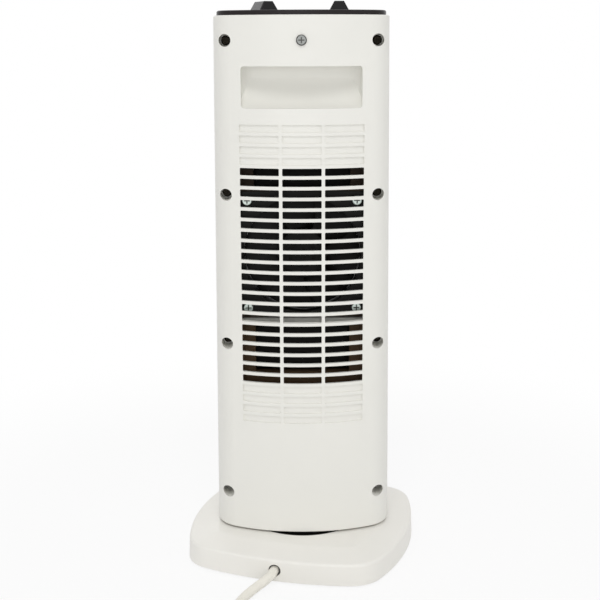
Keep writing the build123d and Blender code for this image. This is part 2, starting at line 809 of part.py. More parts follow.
def swing_button():
    low_z = button_top_z - button_cap_height
    cap = rod(button_radius, (0, button_y, low_z), (0, button_y, button_top_z))
    cap = fillet(cap.edges().filter_by(GeomType.CIRCLE).sort_by(Axis.Z)[-1:], button_edge)
    return cap + rod(button_stem_radius, (0, button_y, low_z - button_stem_length), (0, button_y, low_z))


def swing_switch():
    # Stands clear below the button's cap through its whole travel, with a cheek on each side up to the panel
    top = button_top_z - button_cap_height - button_travel - running_gap
    low = top - button_switch_height
    half = button_switch_size / 2
    cheek_x = button_radius + 2 * running_gap
    outer_x = cheek_x + panel_wall
    y_span = (button_y - half, button_y + half)
    body = block((-outer_x, outer_x), y_span, (low, top))
    cheek_z = (low, panel_field_z - panel_wall)
    cheeks = [block((side * cheek_x, side * outer_x), y_span, cheek_z) for side in (-1, 1)]
    stem_low = button_top_z - button_cap_height - button_stem_length - button_travel - running_gap
    bore = rod(button_stem_radius + shaft_gap, (0, button_y, stem_low), (0, button_y, panel_rim_z))
    return fuse([body] + cheeks + tabs(0, button_y, low, swing_switch_tabs)) - bore


def pilot_lamp():
    top = panel_field_z + lamp_stand
    under_z = panel_field_z - panel_wall
    lens = rod(lamp_radius, (0, lamp_y, top - lamp_length), (0, lamp_y, top))
    lens = fillet(lens.edges().filter_by(GeomType.CIRCLE).sort_by(Axis.Z)[-1:], lamp_stand)
    return lens + rod(lamp_collar_radius, (0, lamp_y, under_z - lamp_collar_height), (0, lamp_y, under_z))


# Fan

fan_front_y = fan_back_y - fan_depth
fan_half = fan_side / 2
fan_screw_reach = fan_screw_spacing / 2
fan_screw_places = [(a * fan_screw_reach, fan_centre_z + b * fan_screw_reach) for a in (-1, 1) for b in (-1, 1)]
fan_hub_back_y = fan_back_y - fan_hub_wall


def fan_frame():
    square = Pos(0, fan_centre_z) * RectangleRounded(fan_side, fan_side, fan_corner)
    frame = prism_y(square, fan_front_y, fan_back_y)
    middle_front = (0, fan_front_y, fan_centre_z)
    mouth_y = fan_front_y + fan_cup_depth
    frame = frame - rod(fan_opening_radius, (0, fan_front_y - overrun, fan_centre_z), (0, reach, fan_centre_z))
    cup = rod(fan_cup_radius, middle_front, (0, mouth_y, fan_centre_z))
    length = fan_opening_radius + overrun
    half = fan_strut_width / 2
    strut = block((-half, half), (fan_front_y, mouth_y - seat_gap), (0, length))
    struts = [Pos(0, 0, fan_centre_z) * Rot(0, angle, 0) * strut for angle in (45, 135, 225, 315)]
    tube = rod(fan_bearing_radius, middle_front, (0, fan_back_y - fan_tube_set_back, fan_centre_z))
    bore = rod(fan_shaft_radius + shaft_gap, (0, fan_front_y + overrun, fan_centre_z), (0, reach, fan_centre_z))
    holes = [rod(screw_radius + fit_gap, (x, -reach, z), (x, reach, z)) for x, z in fan_screw_places]
    return fuse([frame, cup] + struts + [tube]) - bore - fuse(holes)


def fan_stator():
    start = fan_front_y + fan_cup_depth
    core = pipe(fan_stator_radius, fan_bearing_radius + fit_gap, (0, start, fan_centre_z),
                (0, start + fan_stator_depth, fan_centre_z))
    notches = []
    for angle in (0, 60, 120, 180, 240, 300):
        x = fan_stator_radius * sin(radians(angle))
        z = fan_centre_z + fan_stator_radius * cos(radians(angle))
        notches.append(rod(fan_stator_notch, (x, start - overrun, z), (x, reach, z)))
    return core - fuse(notches)


def fan_rotor():
    end_y = fan_hub_back_y
    start_y = end_y - fan_hub_depth
    hub = rod(fan_hub_radius, (0, start_y, fan_centre_z), (0, end_y, fan_centre_z))
    hub = fillet(hub.edges().filter_by(GeomType.CIRCLE).sort_by(Axis.Y)[-1:], fan_hub_edge)
    cavity = rod(fan_hub_radius - fan_hub_wall, (0, start_y - overrun, fan_centre_z),
                 (0, end_y - fan_hub_wall, fan_centre_z))
    hub = hub - cavity
    root = fan_hub_radius - fan_hub_wall / 2
    length = fan_blade_tip_radius - root + overrun
    blade = Box(fan_blade_chord, fan_blade_thickness, length, align=(Align.CENTER, Align.CENTER, Align.MIN))
    middle_y = (start_y + end_y) / 2
    sweep_out = rod(fan_blade_tip_radius, (0, -reach, fan_centre_z), (0, reach, fan_centre_z))
    core = rod(root, (0, -reach, fan_centre_z), (0, reach, fan_centre_z))
    blades = []
    for index in range(fan_blades):
        place = Pos(0, middle_y, fan_centre_z) * Rot(0, index * 360 / fan_blades, 0)
        tilted = place * Pos(0, 0, root - overrun) * Rot(0, 0, fan_blade_pitch) * blade
        blades.append((tilted & sweep_out) - core)
    return fuse([hub] + blades)


def fan_shaft():
    end_y = fan_hub_back_y - fan_hub_wall
    return rod(fan_shaft_radius, (0, fan_front_y + overrun + shaft_gap, fan_centre_z), (0, end_y, fan_centre_z))


def fan_screws():
    height = screw_head_height
    return [screw(fan_screw_head_radius, height, screw_radius, fan_screw_length, (x, fan_back_y, z), (0, -1, 0))
            for x, z in fan_screw_places]


def inlet_baffles():
    # Trays open to the back that close the casing above and below the fan, each with a deep middle part
    outer_x = slot_half_width + inlet_rib_gap
    back_y = fan_back_y + trim_gap - seat_gap
    lip_y = fan_back_y - ledge_set_back - trim_gap
    fan_low_z = fan_centre_z - fan_half - seat_gap
    fan_top_z = fan_centre_z + fan_half + seat_gap
    spans = ((inlet_low_z, ledge_z - seat_gap, baffle_step_height), (fan_top_z, inlet_top_z, 0))
    trays = []
    for low, high, step in spans:
        deep_low = low + step
        half = baffle_deep_half_width
        deep = block((-half, half), (baffle_deep_y, back_y), (deep_low, high))
        shallow = block((-outer_x, outer_x), (baffle_step_y, back_y), (low, high))
        wall = baffle_wall
        deep_x = half - wall
        hollow_deep = block((-deep_x, deep_x), (baffle_deep_y + wall, reach), (deep_low + wall, high - wall))
        shallow_x = outer_x - wall
        step_y = baffle_step_y + wall
        hollow_shallow = block((-shallow_x, shallow_x), (step_y, reach), (low + wall, high - wall))
        trays.append(deep + shallow - hollow_deep - hollow_shallow)
    # A lip between the lower tray and the fan, in front of the light shelf
    lip_low_z = ledge_z - seat_gap - baffle_wall
    lip = block((-outer_x, outer_x), (lip_y - baffle_wall, lip_y), (lip_low_z, fan_low_z))
    trays[0] = trays[0] + lip
    return trays


# Duct and heating element

duct_half = fan_half
duct_back_y = fan_front_y
duct_inner = duct_half - duct_wall


def air_duct():
    spans = (duct_front_y, duct_back_y)
    outer = Pos(0, fan_centre_z) * RectangleRounded(2 * duct_half, 2 * duct_half, fan_corner)
    inner = Pos(0, fan_centre_z) * Rectangle(2 * duct_inner, 2 * duct_inner)
    duct = prism_y(outer, *spans) - prism_y(inner, duct_front_y - overrun, duct_back_y + overrun)
    core = prism_y(outer, *spans)
    bosses = []
    holes = []
    start_y = fan_back_y - fan_screw_length - seat_gap
    for x, z in fan_screw_places:
        bosses.append(rod(duct_boss_radius, (x, start_y - cover_boss_web, z), (x, duct_back_y, z)) & core)
        holes.append(rod(screw_radius + fit_gap, (x, start_y, z), (x, reach, z)))
    for x, z in duct_ears():
        ear = rod(duct_ear_radius, (x, duct_ear_front_y, z), (x, duct_ear_back_y, z))
        neck_z = (z - duct_ear_radius, z + duct_ear_radius)
        side = 1 if x > 0 else -1
        neck_x = (x, side * (duct_half - duct_wall / 2))
        ear = ear + block(neck_x, (duct_ear_front_y, duct_ear_back_y), neck_z)
        bosses.append(ear)
        holes.append(rod(small_screw_radius + fit_gap, (x, duct_front_y - overrun, z), (x, 0, z)))
    return fuse([duct] + bosses) - fuse(holes + element_tabs(trim_gap))


def duct_screws():
    length = duct_screw_length - seat_gap
    seats = [(x, duct_ear_back_y, z) for x, z in duct_ears()]
    return [small_screw(length, seat, (0, -1, 0), screw_head_round) for seat in seats]


element_back_y = element_front_y + element_depth
element_half = duct_inner - seat_gap
bank_space = (2 * element_half - 2 * element_end_height - (element_banks - 1) * element_bar_width) / element_banks


def bank_lows():
    step = bank_space + element_bar_width
    low = fan_centre_z - element_half + element_end_height
    return [low + index * step for index in range(element_banks)]


def element_fins():
    # Folded strip between the bars: one wavy band drawn through the element's depth
    half = element_half - 2 * element_bar_wall
    count = 2 * int(half / element_fin_pitch)
    step = 2 * half / count
    fins = []
    for low in bank_lows():
        top = low + bank_space - fit_gap
        foot = low + fit_gap
        levels = (foot + element_fin_thickness, top)
        upper = [(index * step - half, levels[index % 2]) for index in range(count + 1)]
        lower = [(x, z - element_fin_thickness) for x, z in reversed(upper)]
        fins.append(prism_y(make_face(Polyline(*upper, *lower, close=True)), element_front_y, element_back_y))
    return fins


def bar_spans():
    step = bank_space + element_bar_width
    return [(low + bank_space, low + step) for low in bank_lows()[:-1]]


def element_bars():
    # Flat aluminium tubes that hold the ceramic stones
    bars = []
    for low, high in bar_spans():
        bar = block((-element_half, element_half), (element_front_y, element_back_y), (low, high))
        wall = element_bar_wall
        bore = block((-element_half - overrun, element_half + overrun),
                     (element_front_y + wall, element_back_y - wall), (low + wall, high - wall))
        bars.append(bar - bore)
    return bars


def element_stones_set():
    stones = []
    wall = element_bar_wall + fit_gap
    pitch = 2 * element_half / element_stones
    for low, high in bar_spans():
        for index in range(element_stones):
            middle = -element_half + (index + 0.5) * pitch
            span = (middle - element_stone_length / 2, middle + element_stone_length / 2)
            stones.append(block(span, (element_front_y + wall, element_back_y - wall), (low + wall, high - wall)))
    return stones


def element_ends():
    # Heat-proof rails above and below the banks, with the live and neutral tabs on top
    rails = []
    for low in (fan_centre_z - element_half, fan_centre_z + element_half - element_end_height):
        high = low + element_end_height
        rail = block((-element_half, element_half), (element_front_y, element_back_y), (low, high))
        rails.append(rail - fuse(element_tabs(fit_gap)))
    return rails


def element_tabs(room=0):
    # Flat tabs that stand in the upper rail and pass the duct's roof, or the room that they need
    pieces = []
    middle_y = (element_front_y + element_back_y) / 2
    foot = fan_centre_z + element_half - element_end_height / 2
    half_width = element_tab_width / 2 + room
    half_thick = element_tab_thickness / 2 + room
    for x in (-element_half / 2, element_half / 2):
        span = (x - half_width, x + half_width)
        thick = (middle_y - half_thick, middle_y + half_thick)
        pieces.append(block(span, thick, (foot - room, foot + element_tab_length)))
    return pieces


def thermal_cutout():
    top = fan_centre_z + duct_half
    middle_y = (element_front_y + element_back_y) / 2
    plate = block((-cutout_ear_length, cutout_ear_length), (middle_y - cutout_radius, middle_y + cutout_radius),
                  (top + fit_gap, top + fit_gap + cutout_plate))
    seat = (0, middle_y, top + cutout_plate)
    can_top = top + cutout_plate + cutout_height
    can = rod(cutout_radius, seat, (0, middle_y, can_top))
    cap = rod(cutout_cap_radius, seat, (0, middle_y, can_top + cutout_cap_height))
    return fuse([plate, can, cap])


def thermal_fuse():
    z = fan_centre_z + duct_half + fuse_radius + fit_gap
    half = fuse_length / 2
    body = rod(fuse_radius, (-half, fuse_y, z), (half, fuse_y, z))
    lead = half + fuse_lead_length
    return body + rod(fuse_lead_radius, (-lead, fuse_y, z), (lead, fuse_y, z))


# Tower foot

foot_floor_z = tower_foot_z + foot_plate_height
terminal_spans = ((terminal_x - terminal_size[0] / 2, terminal_x + terminal_size[0] / 2),
                  (terminal_y - terminal_size[1] / 2, terminal_y + terminal_size[1] / 2))
pivot_disc_top_z = base_top_z - base_wall - seat_gap
pivot_disc_low_z = pivot_disc_top_z - pivot_disc_height
retainer_top_z = pivot_disc_low_z - trim_gap
retainer_low_z = retainer_top_z - retainer_height
retainer_angles = (90, 210, 330)
retainer_turns = [radians(angle) for angle in retainer_angles]
retainer_places = [(spigot_boss_circle * cos(turn), spigot_boss_circle * sin(turn)) for turn in retainer_turns]


def foot_plate():
    plate = tower_body(cover_wall + trim_gap, tower_foot_z, tower_foot_z + foot_plate_height)
    high = tower_foot_z + overrun
    spigot = pipe(spigot_radius, spigot_radius - spigot_wall, (0, 0, retainer_top_z), (0, 0, high))
    bosses = [rod(spigot_boss_radius, (x, y, retainer_top_z), (x, y, high)) for x, y in retainer_places]
    top = foot_floor_z + overrun
    stand = block(*terminal_spans, (tower_foot_z + foot_plate_height / 2, foot_floor_z + terminal_stand))
    holes = [rod(wire_hole_radius, (0, 0, 0), (0, 0, top))]
    holes += [rod(small_screw_radius + fit_gap, (x, y, 0), (x, y, tower_foot_z + foot_plate_height / 2))
              for x, y in retainer_places]
    holes += [rod(small_screw_radius + fit_gap, (x, y, 0), (x, y, top)) for x, y in foot_screw_places]
    head_z = tower_foot_z + small_head_height
    holes += [rod(small_head_radius + fit_gap, (x, y, 0), (x, y, head_z)) for x, y in foot_screw_places]
    return fuse([plate, spigot, stand] + bosses) - fuse(holes)


def foot_screws():
    seat_z = tower_foot_z + small_head_height
    seats = [(x, y, seat_z) for x, y in foot_screw_places]
    return [small_screw(foot_screw_length, seat, (0, 0, 1)) for seat in seats]


crank_radius = drive_distance * sin(radians(swing_half_angle))


def spigot_retainer():
    # Ring under the base's top, with the slotted arm that the crank drives
    ring = rod(retainer_radius, (0, 0, retainer_low_z), (0, 0, retainer_top_z))
    half = drive_arm_width / 2
    side = crank_roller_radius + slot_side_gap
    limit = radians(swing_half_angle * crank_per_swing)
    near = sqrt(drive_distance ** 2 + crank_radius ** 2 + 2 * drive_distance * crank_radius * cos(limit))
    near = near - slot_end_gap
    far = drive_distance + crank_radius + slot_end_gap
    arm = block((-half, half), (-far, 0), (retainer_low_z, retainer_top_z))
    arm = arm + rod(half, (0, -far, retainer_low_z), (0, -far, retainer_top_z))
    slot = block((-side, side), (-far, -near), (0, reach))
    slot = slot + rod(side, (0, -near, 0), (0, -near, reach)) + rod(side, (0, -far, 0), (0, -far, reach))
    holes = [rod(wire_hole_radius, (0, 0, 0), (0, 0, reach))]
    holes += [rod(small_screw_radius + fit_gap, (x, y, 0), (x, y, reach)) for x, y in retainer_places]
    return ring + arm - slot - fuse(holes)


def retainer_screws():
    length = foot_plate_height + small_head_height
    return [small_screw(length, (x, y, retainer_low_z), (0, 0, 1)) for x, y in retainer_places]


def terminal_block():
    height = terminal_size[2]
    low = foot_floor_z + terminal_stand
    body = block(*terminal_spans, (low, low + height))
    bores = []
    for index in range(terminal_poles):
        x = terminal_x + (index - (terminal_poles - 1) / 2) * terminal_pitch
        foot = (x, terminal_y, low + height / 2)
        bores.append(rod(terminal_screw_radius, foot, (x, terminal_y, low + height + overrun)))
    return body - fuse(bores)


def tip_over_switch():
    width, depth, height = tip_switch_size
    low = foot_floor_z
    x_span = (tip_switch_x - width / 2, tip_switch_x + width / 2)
    y_span = (tip_switch_y - depth / 2, tip_switch_y + depth / 2)
    body = block(x_span, y_span, (low, low + height))
    return fillet(body.edges().filter_by(Axis.Z), tip_switch_round)


# Base: made square to the axes, then turned to where the photograph shows it

def turned(shape):
    return Rot(0, 0, base_turn) * shape


def base_outline(inset):
    x = base_half_width - base_side_bow
    y = base_half_depth - base_end_bow
    end = bowed_circle((-x, y), (x, y), base_end_bow)
    side = bowed_circle((x, y), (x, -y), base_side_bow)
    near_x, near_y = meet_circles(end, side, inset, (x, y))
    corners = [(-near_x, near_y), (near_x, near_y), (near_x, -near_y), (-near_x, -near_y)]
    other_end = ((0, -end[0][1]), end[1])
    other_side = (mirrored(side[0]), side[1])
    circles = (end, side, other_end, other_side)
    ends = zip(circles, corners, corners[1:] + corners[:1])
    arcs = [shrunk_arc(circle, inset, start, end) for circle, start, end in ends]
    return remade(fillet(make_face(Curve() + arcs).vertices(), base_corner_radius - inset).face())


def base_solid(inset, z_low):
    # A slightly drafted wall under a top that slopes gently up to a level middle
    wall_height = base_crease_z - inset - z_low
    wall = extrude(Pos(0, 0, z_low) * base_outline(inset), wall_height, taper=base_wall_draft)
    rim = wall.faces().sort_by(Axis.Z)[-1]
    slope = degrees(atan2(base_slope_run, base_top_z - base_crease_z))
    roof = extrude(remade(rim), base_top_z - base_crease_z, taper=slope)
    return wall + roof


base_inner_z = base_low_z + base_plate_height
base_screw_places = [(a * base_boss_x, b * base_boss_y) for a in (-1, 1) for b in (-1, 1)]
foot_pad_places = [(a * foot_pad_x, b * foot_pad_y) for a in (-1, 1) for b in (-1, 1)]
motor_ears = [(-motor_ear_x, -drive_distance), (motor_ear_x, -drive_distance)]
clamp_screw_places = [(-clamp_screw_x, clamp_y), (clamp_screw_x, clamp_y)]
clamp_half = clamp_thickness / 2
clamp_spans = ((-clamp_width / 2, clamp_width / 2), (clamp_y - clamp_half, clamp_y + clamp_half))
clamp_top_z = cord_hole_z + cord_radius + clamp_top_wall


def base_cover():
    body = base_solid(0, base_low_z)
    crease = [edge for edge in body.edges() if abs(edge.center().Z - base_crease_z) < fit_gap]
    body = fillet(crease, base_crease_round)
    shell = body - base_solid(base_wall, base_low_z - overrun)
    limit = base_solid(base_wall / 2, base_low_z)
    bosses = [rod(base_boss_radius, (x, y, base_inner_z), (x, y, reach)) & limit for x, y in base_screw_places]
    tip_z = base_inner_z + base_screw_length
    holes = [rod(screw_radius + fit_gap, (x, y, 0), (x, y, tip_z)) for x, y in base_screw_places]
    holes.append(rod(turntable_radius, (0, 0, 0), (0, 0, reach)))
    hole_z = cord_hole_z + cord_hole_shift
    holes.append(rod(cord_hole_radius, (-cord_hole_shift, 0, hole_z), (-cord_hole_shift, reach, hole_z)))
    return turned(fuse([shell] + bosses) - fuse(holes))


def pivot_ring():
    # A disc under the base's round opening, with a raised middle that carries the tower
    bore = spigot_radius + running_gap
    disc = pipe(pivot_disc_radius, bore, (0, 0, pivot_disc_low_z), (0, 0, pivot_disc_top_z))
    return disc + pipe(pivot_boss_radius, bore, (0, 0, pivot_disc_low_z), (0, 0, tower_foot_z - seat_gap))


def base_plate():
    section = Pos(0, 0, base_low_z) * base_outline(base_wall + trim_gap)
    plate = extrude(section, base_plate_height)
    holes = [rod(screw_radius + fit_gap, (x, y, 0), (x, y, reach)) for x, y in base_screw_places]
    head_z = base_low_z + base_plate_height / 2
    holes += [rod(screw_head_radius + fit_gap, (x, y, 0), (x, y, head_z)) for x, y in base_screw_places]
    holes += [rod(foot_pad_plug_radius + fit_gap, (x, y, 0), (x, y, reach)) for x, y in foot_pad_places]
    post_top = motor_low_z + motor_ear_seat
    foot_z = base_low_z + fit_gap
    posts = [rod(motor_ear_radius, (x, y, foot_z), (x, y, post_top)) for x, y in motor_ears]
    holes += [rod(small_screw_radius + fit_gap, (x, y, base_inner_z), (x, y, reach)) for x, y in motor_ears]
    saddle = block(*clamp_spans, (foot_z, cord_hole_z))
    holes.append(rod(cord_radius + fit_gap, (0, 0, cord_hole_z), (0, reach, cord_hole_z)))
    holes += [rod(small_screw_radius + fit_gap, (x, y, base_inner_z), (x, y, reach)) for x, y in clamp_screw_places]
    return turned(fuse([plate] + posts + [saddle]) - fuse(holes))


def base_screws():
    seat_z = base_low_z + base_plate_height / 2
    height = base_plate_height / 2
    length = base_screw_length - seat_gap
    seats = [(x, y, seat_z) for x, y in base_screw_places]
    screws = [screw(screw_head_radius, height, screw_radius, length, seat, (0, 0, 1), height / 2) for seat in seats]
    return [turned(piece) for piece in screws]


def rubber_feet():
    feet = []
    for x, y in foot_pad_places:
        pad = rod(foot_pad_radius, (x, y, 0), (x, y, base_low_z))
        feet.append(turned(pad + rod(foot_pad_plug_radius, (x, y, 0), (x, y, base_inner_z + overrun))))
    return feet


def cord_grommet():
    # A ring round the cord, close behind the hole in the wall
    end_y = base_half_depth - grommet_set_back
    start = (0, end_y - grommet_length, cord_hole_z)
    return turned(pipe(grommet_radius, cord_radius + fit_gap, start, (0, end_y, cord_hole_z)))


def cord_clamp():
    body = block(*clamp_spans, (cord_hole_z, clamp_top_z))
    holes = [rod(small_screw_radius + fit_gap, (x, y, 0), (x, y, reach)) for x, y in clamp_screw_places]
    holes.append(rod(cord_radius + fit_gap, (0, 0, cord_hole_z), (0, reach, cord_hole_z)))
    return turned(body - fuse(holes))


def clamp_screws():
    length = clamp_top_z - base_inner_z - seat_gap
    return [turned(small_screw(length, (x, y, clamp_top_z), (0, 0, -1))) for x, y in clamp_screw_places]


# Swing drive

motor_low_z = base_inner_z + fit_gap
motor_ear_seat = motor_height - motor_ear_height
crank_low_z = motor_low_z + motor_height + running_gap
rest_swing = -base_turn
crank_rest = rest_swing * crank_per_swing


def swing_motor():
    high = motor_low_z + motor_height
    can = rod(motor_radius, (0, -drive_distance, motor_low_z), (0, -drive_distance, high))
    can = fillet(can.edges().filter_by(GeomType.CIRCLE), motor_edge)
    ears = []
    ear_low = high - motor_ear_height
    for x, y in motor_ears:
        strap = block((0, x), (y - motor_ear_radius, y + motor_ear_radius), (ear_low, high))
        ears.append(strap + rod(motor_ear_radius, (x, y, ear_low), (x, y, high)))
    holes = [rod(small_screw_radius + fit_gap, (x, y, 0), (x, y, reach)) for x, y in motor_ears]
    shaft_low = motor_low_z + motor_height / 2
    holes.append(rod(motor_shaft_radius + shaft_gap, (0, -drive_distance, shaft_low), (0, -drive_distance, reach)))
    return turned(fuse([can] + ears) - fuse(holes))


def motor_screws():
    seat_z = motor_low_z + motor_height
    length = motor_height - running_gap
    return [turned(small_screw(length, (x, y, seat_z), (0, 0, -1))) for x, y in motor_ears]


def in_drive(shape):
    # The crank is made pointing straight out from the pivot, then turned with the rest pose
    return turned(Pos(0, -drive_distance, 0) * Rot(0, 0, crank_rest) * Pos(0, drive_distance, 0) * shape)


def crank():
    high = crank_low_z + crank_disc_height
    pin_y = -drive_distance - crank_radius
    lobe = rod(crank_rim, (0, pin_y, crank_low_z), (0, pin_y, high))
    hub = rod(motor_shaft_radius + crank_rim, (0, -drive_distance, crank_low_z), (0, -drive_distance, high))
    arm = block((-crank_rim, crank_rim), (pin_y, -drive_distance), (crank_low_z, high))
    shaft_low = motor_low_z + motor_height / 2 + running_gap
    shaft = rod(motor_shaft_radius, (0, -drive_distance, shaft_low), (0, -drive_distance, high))
    pin = rod(crank_pin_radius, (0, pin_y, crank_low_z), (0, pin_y, retainer_top_z - running_gap))
    return in_drive(fuse([lobe, arm, hub, shaft, pin]))


def crank_roller():
    pin_y = -drive_distance - crank_radius
    low = crank_low_z + crank_disc_height + fit_gap
    top = retainer_top_z - running_gap
    return in_drive(pipe(crank_roller_radius, crank_pin_radius + fit_gap, (0, pin_y, low), (0, pin_y, top)))


# Cords and wires

def tube_along(points, radii, radius):
    path = FilletPolyline(*points, radius=radii)
    start = path.position_at(0)
    section = Plane(origin=start, z_dir=path.tangent_at(0)) * Circle(radius)
    return sweep(section, path=path), path.length


def corner_radii(points):
    # As large as the two runs at each point allow: a share of the shorter, over the tangent of half the turn
    radii = []
    for before, here, after in zip(points, points[1:], points[2:]):
        run_in = Vector(*here) - Vector(*before)
        run_out = Vector(*after) - Vector(*here)
        turn = radians(run_in.get_angle(run_out))
        radii.append(corner_run_share * min(run_in.length, run_out.length) / tan(turn / 2))
    return radii


def inner_lead():
    route = [(0, exit_reach, cord_hole_z), (0, 0, cord_hole_z), (0, 0, inner_lead_top_z)]
    return turned(tube_along(route, inner_bend_radius, cord_radius)[0])


def tower_lead():
    end_x = terminal_x + terminal_size[0] / 2 + seat_gap
    level_z = foot_floor_z + terminal_stand + terminal_size[2] / 2
    route = [(0, 0, inner_lead_top_z + running_gap), (0, 0, level_z), (end_x, 0, level_z)]
    return tube_along(route, inner_bend_radius, cord_radius)[0]


def wiring():
    # Insulated wires up the side of the duct, from the terminal block to the mode switch
    low = foot_floor_z + terminal_stand + terminal_size[2] + seat_gap
    switch_low_z = panel_field_z - panel_wall - switch_height
    wires = []
    for index in range(terminal_poles):
        shift = index - (terminal_poles - 1) / 2
        x = terminal_x + shift * terminal_pitch
        start_y = terminal_y + shift * wire_spacing
        y = wire_y + shift * wire_spacing
        turn_z = low + wire_rise
        level_z = switch_low_z - wire_end_drop
        rise = [(x, start_y, low), (x, start_y, turn_z), (wire_x, y, turn_z + wire_shift), (wire_x, y, level_z)]
        route = rise + [(wire_end_x, y, level_z), (wire_end_x, y, switch_low_z - seat_gap)]
        wires.append(tube_along(route, wire_bend_radius, wire_radius)[0])
    return wires


exit_reach = base_half_depth + exit_overhang
exit_x = exit_reach * sin(radians(-base_turn))
exit_y = exit_reach * cos(radians(-base_turn))
floor_z = cord_radius
upper_z = cord_radius + coil_pitch
coil_side_x = coil_x + coil_outer_radius
coil_back_y = coil_y + coil_outer_radius
cord_route = [
    (exit_x, exit_y, cord_hole_z),
    (26.3, 95.0, 9.2),
    (37.5, 105.0, 5.4),
    (46.5, 117.5, floor_z),
    (52.0, 134.0, floor_z),
    (55.0, 152.0, floor_z),
    (55.0, 172.0, floor_z),
    (coil_side_x, coil_y - coil_end_straight, floor_z),
]
lead_route = [
    (coil_x - coil_end_straight, coil_back_y, upper_z),
    (coil_x - 20.0, coil_back_y, upper_z),
    (coil_x - 33.0, coil_back_y - 1.5, 13.35),
]


def half_turn(start, end, heading):
    # Two quarter arcs between points that face opposite ways, so a rise is shared between them
    start, end = Vector(*start), Vector(*end)
    middle = (start + end) * 0.5 + Vector(*heading) * ((end - start).length / 2)
    return [TangentArc(start, middle, tangent=heading), TangentArc(middle, end, tangent=end - start)]


def coil_path():
    # Half turns spiral in on the floor, climb a layer at the middle and spiral out above
    radii = [coil_outer_radius - index * coil_pitch / 2 for index in range(coil_half_turns)]
    inner = coil_outer_radius - coil_half_turns * coil_pitch / 2
    turns = [(radius, floor_z) for radius in radii] + [(inner, upper_z)]
    turns += [(radius, upper_z) for radius in reversed(radii[1:])]
    point = (coil_side_x, coil_y, floor_z)
    edges = [Line((coil_side_x, coil_y - coil_end_straight, floor_z), point)]
    side = 1
    for radius, end_z in turns:
        end = (point[0] - side * 2 * radius, coil_y, end_z)
        edges += half_turn(point, end, (0, side, 0))
        point = end
        side = -side
    corner = (point[0] - coil_outer_radius, coil_back_y, upper_z)
    edges.append(TangentArc(point, corner, tangent=(0, 1, 0)))
    edges.append(Line(corner, (corner[0] - coil_end_straight, coil_back_y, upper_z)))
    return Wire(edges)


def least_gap(path, diameter, steps=900):
    # Least distance between points of the path that lie more than two diameters apart along it
    points = [path.position_at(index / steps) for index in range(steps + 1)]
    skip = int(2 * diameter * steps / path.length) + 1
    nearest = path.length
    for index, point in enumerate(points):
        for other in points[index + skip:]:
            if abs(point.X - other.X) < 2 * diameter and abs(point.Y - other.Y) < 2 * diameter:
                nearest = min(nearest, (point - other).length)
    return nearest - diameter


def free_tube(name, route):
    radii = corner_radii(route)
    solid, length = tube_along(route, radii, cord_radius)
    share = solid.volume / (pi * cord_radius ** 2 * length)
    listed = [round(radius, 1) for radius in radii]
    print(name, "radii", listed, "length", round(length, 1), "volume share", round(share, 4))
    return solid


def cord_coil():
    path = coil_path()
    solid = sweep(Plane(origin=path.position_at(0), z_dir=path.tangent_at(0)) * Circle(cord_radius), path=path)
    share = solid.volume / (pi * cord_radius ** 2 * path.length)
    gap = least_gap(path, cord_diameter)
    print("coil length", round(path.length, 1), "least gap", round(gap, 2), "volume share", round(share, 4))
    return solid


# Plug, lying with its face's edge on the floor

plug_start = Vector(*lead_route[-1])
plug_line = (plug_start - Vector(*lead_route[-2])).normalized()
plug_plane = Plane(origin=plug_start, x_dir=(0, 1, 0), z_dir=plug_line)


def plug_body():
    relief = plug_relief_length
    neck = relief + plug_body_length - plug_face_length
    face = relief + plug_body_length
    side = [(0, 0), (cord_radius, 0), (plug_relief_radius, relief), (plug_neck_radius, relief)]
    side.append((plug_face_radius, neck))
    end = [(plug_face_radius, face - plug_edge), (plug_face_radius - plug_edge, face), (0, face)]
    body = revolve(Plane.XZ * make_face(Polyline(*side, *end, close=True)), Axis.Z)
    for x in (-plug_pin_spacing / 2, plug_pin_spacing / 2):
        body = body - rod(plug_pin_radius, (x, 0, face - plug_face_length / 2), (x, 0, face + overrun))
    return plug_plane * body


def plug_pins():
    face = plug_relief_length + plug_body_length
    pins = []
    for x in (-plug_pin_spacing / 2, plug_pin_spacing / 2):
        pin = rod(plug_pin_radius, (x, 0, face - plug_face_length / 2), (x, 0, face + plug_pin_length))
        pin = fillet(pin.edges().filter_by(GeomType.CIRCLE).sort_by(Axis.Z)[-1:], plug_pin_radius / 2)
        pins.append(plug_plane * pin)
    return pins


def cover_screws():
    seat_y = seam_y + well_floor
    head = (screw_head_radius, screw_head_height, screw_radius)
    return [screw(*head, cover_screw_length, (x, seat_y, z), (0, -1, 0)) for x, z in wells]


def panel_screw():
    seat = (0, back_at(panel_screw_z), panel_screw_z)
    head = (panel_screw_head_radius, panel_screw_head_height, screw_radius)
    return screw(*head, panel_screw_length, seat, (0, -1, 0))


